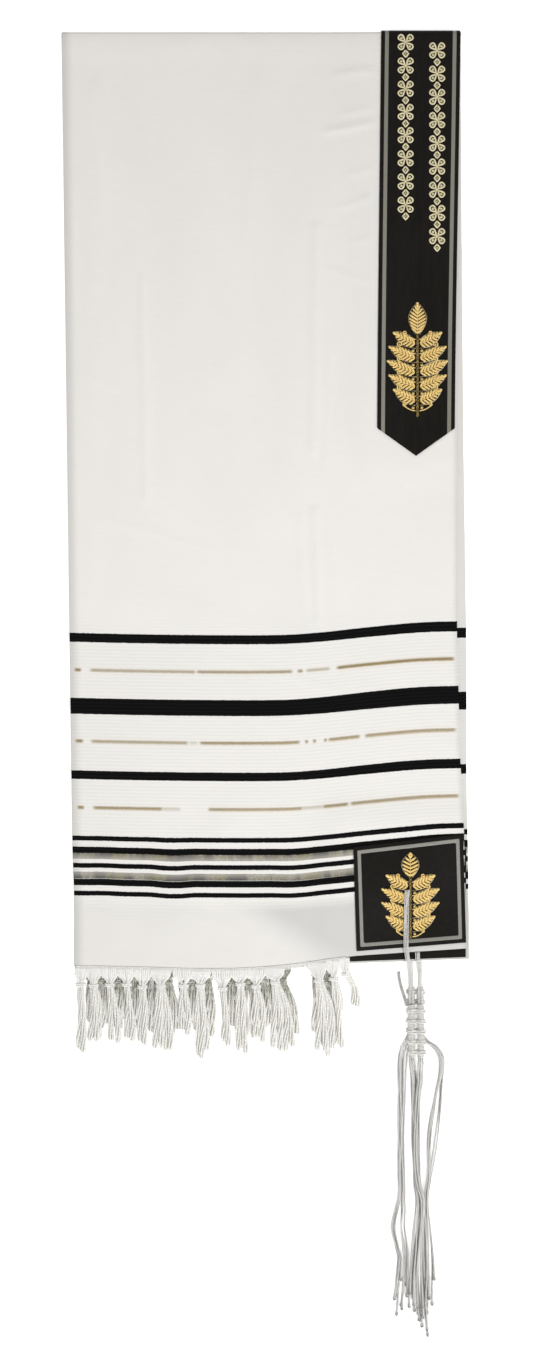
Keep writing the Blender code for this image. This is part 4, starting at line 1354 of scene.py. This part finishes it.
tasselLook = {
    # radii of the yarns: strands, leading cord, core, winding and knots
    "strand": 1.12,
    "lead": 0.70,
    "core": 2.7,
    "winding": 0.60,
    "knot": 0.85,
    "leadPitch": 1.22,
    "windingPitch": 1.35,
    "strandPitch": 2.3,
    # half width and half height of a winding and of a knot's ring
    "windingReach": (3.15, 2.3),
    "knotReach": (4.5, 2.7),
    "knots": 5,
    "spread": 3.2,
    "turn": 3.4,
}
oddTips = (0.90, 0.97, 1.0, 0.95, 0.92, 0.98, 0.90, 0.94)
evenTips = (0.93, 1.0, 0.97, 0.90, 0.95, 0.88, 0.98, 0.94)
tassels = {
    # rows of x, v and z; the wound stretch; how long each strand is; where strands part, with half the gap;
    # and cut ends of the winding thread, which stick out beside the knots
    "tassel_front": {
        "cord": (
            (336.6, 836.5, 12.3), (335.6, 852.0, 12.3), (335.2, 885.0, 12.3), (336.2, 899.0, 12.0),
            (338.4, 912.0, 10.1), (340.0, 930.0, 8.6), (340.6, 949.0, 8.4), (340.8, 974.0, 8.4),
            (341.2, 1000.0, 5.4),
        ),
        "strands": (
            (341.6, 1006.0, 2.6), (343.2, 1022.0, 0.2), (344.0, 1042.0, 0.2), (344.2, 1091.0, 0.2),
            (345.4, 1122.0, 0.2), (348.0, 1142.0, 0.2), (345.0, 1178.0, 0.2), (342.4, 1215.0, 0.2),
            (344.0, 1258.5, 0.2),
        ),
        "wound": (949.0, 1000.0),
        "tips": oddTips,
        "columns": 3,
        "eye": None,
        "loose": (((328.4, 917.0, 1.6), (329.6, 927.0, 2.6), (332.4, 937.0, 4.6), (336.4, 950.0, 8.0)),),
        "seed": 21,
    },
    "tassel_inner_front": {
        "cord": (
            (346.6, 897.0, 7.95), (347.0, 908.0, 7.95), (348.8, 920.0, 8.4), (349.4, 949.0, 8.4),
            (349.8, 974.0, 8.4), (350.0, 1000.0, 5.4),
        ),
        "strands": (
            (349.8, 1006.0, 3.4), (349.0, 1022.0, 1.8), (346.8, 1042.0, 3.4), (346.0, 1091.0, 4.2),
            (347.6, 1122.0, 4.2), (351.6, 1142.0, 3.6), (350.8, 1178.0, 1.0), (350.0, 1215.0, 0.3),
            (352.4, 1273.8, 0.2),
        ),
        "wound": (949.0, 1000.0),
        "tips": oddTips,
        "columns": 3,
        "eye": None,
        "loose": (),
        "seed": 22,
    },
    "tassel_inner_back": {
        "cord": ((349.0, 907.0, 3.4), (349.4, 925.0, 2.75), (349.6, 949.0, 2.75), (350.2, 979.0, 2.75)),
        "strands": (
            (355.0, 985.0, 1.1), (365.0, 992.0, 0.2), (371.0, 1006.0, 0.2), (366.4, 1039.0, 0.2),
            (362.4, 1070.0, 0.2), (359.4, 1112.0, 0.2), (355.6, 1142.0, 0.2), (357.0, 1180.0, 0.2),
            (358.4, 1215.0, 0.2), (357.6, 1252.0, 0.2),
        ),
        "wound": (932.0, 979.0),
        "tips": evenTips,
        "columns": 3,
        "eye": (1020.0, 1116.0, 2.4),
        "loose": (),
        "seed": 23,
    },
    "tassel_back": {
        "cord": ((340.0, 904.0, 1.6), (340.4, 925.0, 2.75), (340.6, 949.0, 2.75), (340.2, 979.0, 2.75)),
        "strands": (
            (337.0, 985.0, 1.1), (334.0, 992.0, 0.2), (331.8, 1010.0, 0.2), (331.2, 1062.0, 0.2),
            (331.4, 1124.0, 0.2), (330.0, 1145.0, 0.2), (327.6, 1166.0, 0.2), (331.0, 1186.0, 0.2),
            (332.6, 1202.0, 0.2), (328.6, 1253.4, 0.2),
        ),
        "wound": (932.0, 979.0),
        "tips": evenTips,
        "columns": 4,
        "eye": (1138.0, 1196.0, 2.3),
        "loose": (),
        "seed": 24,
    },
}


def addLead(pile, cord, knotFrom):
    # four strands side by side down to the winding
    lead = evenly(cord[cord[:, 1] < knotFrom + 3.0], 0.9)
    for k in range(4):
        path = lead + np.array([(k - 1.5) * tasselLook["leadPitch"], 0.0, 0.0])
        path[:, 0] += 0.18 * np.sin(lead[:, 1] / 9.0 + k * 1.7)
        path[:, 2] += 0.22 * np.cos(lead[:, 1] / 6.0 + k * 2.1)
        addTube(pile, path, tasselLook["lead"], sides=8, lobes=3, lobeDepth=0.3, turn=tasselLook["turn"])


def addWinding(pile, core, knotFrom, knotTo, rand):
    # windings round a core, swelling into double knots; both are marked, so the cord's material paints them
    # darker, as painted shade between their loops
    addTube(pile, core, tasselLook["core"], sides=10, flat=0.75)
    turns = (knotTo - knotFrom) / tasselLook["windingPitch"]
    halfWidth, halfHeight = tasselLook["windingReach"]
    winding = []
    for s in np.linspace(0, 1, int(turns * 14)):
        v = mix(knotFrom, knotTo, s)
        centre = core[min(np.searchsorted(core[:, 1], v), len(core) - 1)]
        angle = s * turns * math.tau
        winding.append((centre[0] + halfWidth * math.cos(angle), v, centre[2] + halfHeight * math.sin(angle)))
    addTube(pile, winding, tasselLook["winding"], sides=6, marked=True)
    halfWidth, halfHeight = tasselLook["knotReach"]
    for knot in range(tasselLook["knots"]):
        v = mix(knotFrom, knotTo, (knot + 0.5) / tasselLook["knots"])
        centre = core[min(np.searchsorted(core[:, 1], v), len(core) - 1)]
        for turn in range(3):
            middle, tilt = v + (turn - 1) * 0.95, (-1) ** turn * 0.9
            ring = []
            for a in np.linspace(0, math.tau, 19):
                at = middle + tilt * math.sin(a + 0.6) + rand.uniform(-0.06, 0.06)
                ring.append((centre[0] + halfWidth * math.cos(a), at, centre[2] + halfHeight * math.sin(a)))
            addTube(pile, ring, tasselLook["knot"], sides=6, marked=True)


def addStrands(pile, tassel, foot, rand):
    # eight strands in rows of three or four, each with its own slight wander
    strand, pitch, eye = tasselLook["strand"], tasselLook["strandPitch"], tassel["eye"]
    line = curveThrough(tassel["strands"], 160)
    total = tassel["strands"][-1][1] - tassel["strands"][0][1]
    for number, reach in enumerate(tassel["tips"]):
        row, column = divmod(number, tassel["columns"])
        aside = (column - (tassel["columns"] - 1) / 2) * pitch
        endV = tassel["strands"][0][1] + total * reach
        phase, rate = rand.uniform(0, math.tau), rand.uniform(14.0, 24.0)
        path = line[line[:, 1] <= endV].copy()
        grow = np.clip((path[:, 1] - path[0, 1]) / 20.0, 0, 1)
        down = np.clip((path[:, 1] - path[0, 1]) / total, 0, 1)
        outward = (aside + rand.uniform(-1.2, 1.2)) * tasselLook["spread"]
        fan = outward * np.clip((down - 0.55) / 0.45, 0, 1) ** 1.2 * 0.30
        if eye:
            opened = np.sin(math.pi * np.clip((path[:, 1] - eye[0]) / (eye[1] - eye[0]), 0, 1))
            fan = fan + eye[2] * opened * (1 if aside > rand.uniform(-0.3, 0.3) else -1)
        gather = 1.0 - 0.16 * np.sin(down * math.pi)
        path[:, 0] += aside * gather + fan + grow * 0.75 * np.sin(path[:, 1] / rate + phase)
        path[:, 2] += strand + row * pitch + grow * 0.25 * (1 + np.sin(path[:, 1] / rate * 1.4 + phase))
        start = foot + np.array([aside * 0.7, -1.5, (row - 0.7) * 1.1])
        path = evenly(np.concatenate([[start], path]), 1.0)
        path[:, 2] = np.maximum(path[:, 2], strand + 0.12)
        ending = np.clip((np.arange(len(path)) - len(path) * 0.7) / (len(path) * 0.3), 0, 1)
        radius = strand * (1.0 + 0.5 * ending)
        radius[-5:] *= (1.2, 1.5, 1.55, 1.3, 0.6)
        addTube(pile, path, radius, sides=9, lobes=3, lobeDepth=0.24, turn=tasselLook["turn"])


def makeTassel(name, tassel, material):
    rand = random.Random(tassel["seed"])
    pile = newPile()
    cord = curveThrough(tassel["cord"], 90)
    knotFrom, knotTo = tassel["wound"]
    core = evenly(cord[cord[:, 1] > knotFrom - 1.0], 0.5)
    addLead(pile, cord, knotFrom)
    addWinding(pile, core, knotFrom, knotTo, rand)
    for rows in tassel["loose"]:
        path = evenly(curveThrough(rows, 30), 1.0)
        for aside in (-0.7, 0.7):
            radius, turn = tasselLook["strand"] * 1.3, tasselLook["turn"]
            addTube(pile, path + np.array([aside, 0, 0]), radius, sides=9, lobes=3, lobeDepth=0.24, turn=turn)
    addStrands(pile, tassel, core[-1], rand)
    return pileObject(name, pile, material)


frontTassel, innerFrontTassel, innerBackTassel, backTassel = [
    makeTassel(name, tassel, cordLook) for name, tassel in tassels.items()
]
print("tassels:", len(frontTassel.data.polygons), "faces in the front one")

# Each piece takes its solid's place

slots = {
    "body_cloth": ((bodyCloth, "shawl_outer_half"), (innerCloth, "shawl_inner_half")),
    "dark_satin": (
        (neckband, "neckband"),
        (frontPatch, "corner_patch_front"),
        (innerPatch, "corner_patch_inner"),
        (backPatch, "corner_patch_back"),
    ),
    "gold_thread": ((neckbandSprig, "neckband_emblem"), (cornerSprig, "corner_emblem"), (neckbandRows, None)),
    "white_yarn": (
        (frontFringe, "fringe_front"),
        (innerFringe, "fringe_inner"),
        (backFringe, "fringe_back"),
        (frontTassel, "tzitzit_front"),
        (innerFrontTassel, "tzitzit_inner_front"),
        (innerBackTassel, "tzitzit_inner_back"),
        (backTassel, "tzitzit_back"),
    ),
}
for slot, rows in slots.items():
    for piece, node in rows:
        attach(piece, "root")
        if node:
            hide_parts(node)

# Floor, light and camera

studio = {
    "photo": (540, 1355),
    "metresPerPixel": 0.000975,
    "centrePixel": (270.0, 677.5),
    "leftPixel": 62.0,
    "topPixel": 31.5,
    "lens": 85.0,
    "sensor": 36.0,
    "floorSize": 80.0,
    "floorGlow": 0.55,
    "world": 0.575,
    # place, aim, size, energy and spread
    "lights": {
        "key": ((0.85, -1.6, 1.6), (-0.1, 0.30, 0.0), 0.7, 6.2, 66.0),
        "fill": ((-1.6, 1.2, 2.2), (0.0, 0.0, 0.0), 2.0, 5.0, 180.0),
    },
}


def makeFloor():
    bpy.ops.mesh.primitive_plane_add(size=studio["floorSize"], location=(0, 0, 0))
    floor = bpy.context.object
    floor.name = "floor"
    material, tree, shader = newMaterial("floor")
    connect(tree, shader, {
        "Base Color": (0.95, 0.95, 0.95, 1.0),
        "Emission Color": (1.0, 1.0, 1.0, 1.0),
        "Emission Strength": studio["floorGlow"],
        "Roughness": 0.9,
        "Specular IOR Level": 0.1,
    })
    floor.data.materials.append(material)


def addArea(name, location, aim, size, energy, spread):
    light = bpy.data.lights.new(name, "AREA")
    light.shape = "DISK"
    light.size = size
    light.energy = energy
    light.spread = math.radians(spread)
    obj = bpy.data.objects.new(name, light)
    bpy.context.collection.objects.link(obj)
    obj.location = location
    obj.rotation_euler = (Vector(aim) - Vector(location)).to_track_quat("-Z", "Y").to_euler()


def makeStudio():
    scene = bpy.context.scene
    world = bpy.data.worlds.new("studio")
    scene.world = world
    world.use_nodes = True
    background = world.node_tree.nodes["Background"]
    background.inputs["Color"].default_value = (1.0, 1.0, 1.0, 1.0)
    background.inputs["Strength"].default_value = studio["world"]
    for name, light in studio["lights"].items():
        addArea(name, *light)
    scene.view_settings.view_transform = "Standard"
    width, height = studio["photo"]
    px, py = studio["centrePixel"]
    scale = studio["metresPerPixel"]
    x = (px - studio["leftPixel"]) * scale - centreX * mm
    y = centreV * mm - (py - studio["topPixel"]) * scale
    distance = height * scale * studio["lens"] / studio["sensor"]
    data = bpy.data.cameras.new("camera")
    data.lens = studio["lens"]
    data.sensor_width = studio["sensor"]
    camera = bpy.data.objects.new("camera", data)
    bpy.context.collection.objects.link(camera)
    camera.location = (x, y, distance + frontTop(200, 450) * mm)
    scene.camera = camera


makeFloor()
makeStudio()
print("studio")
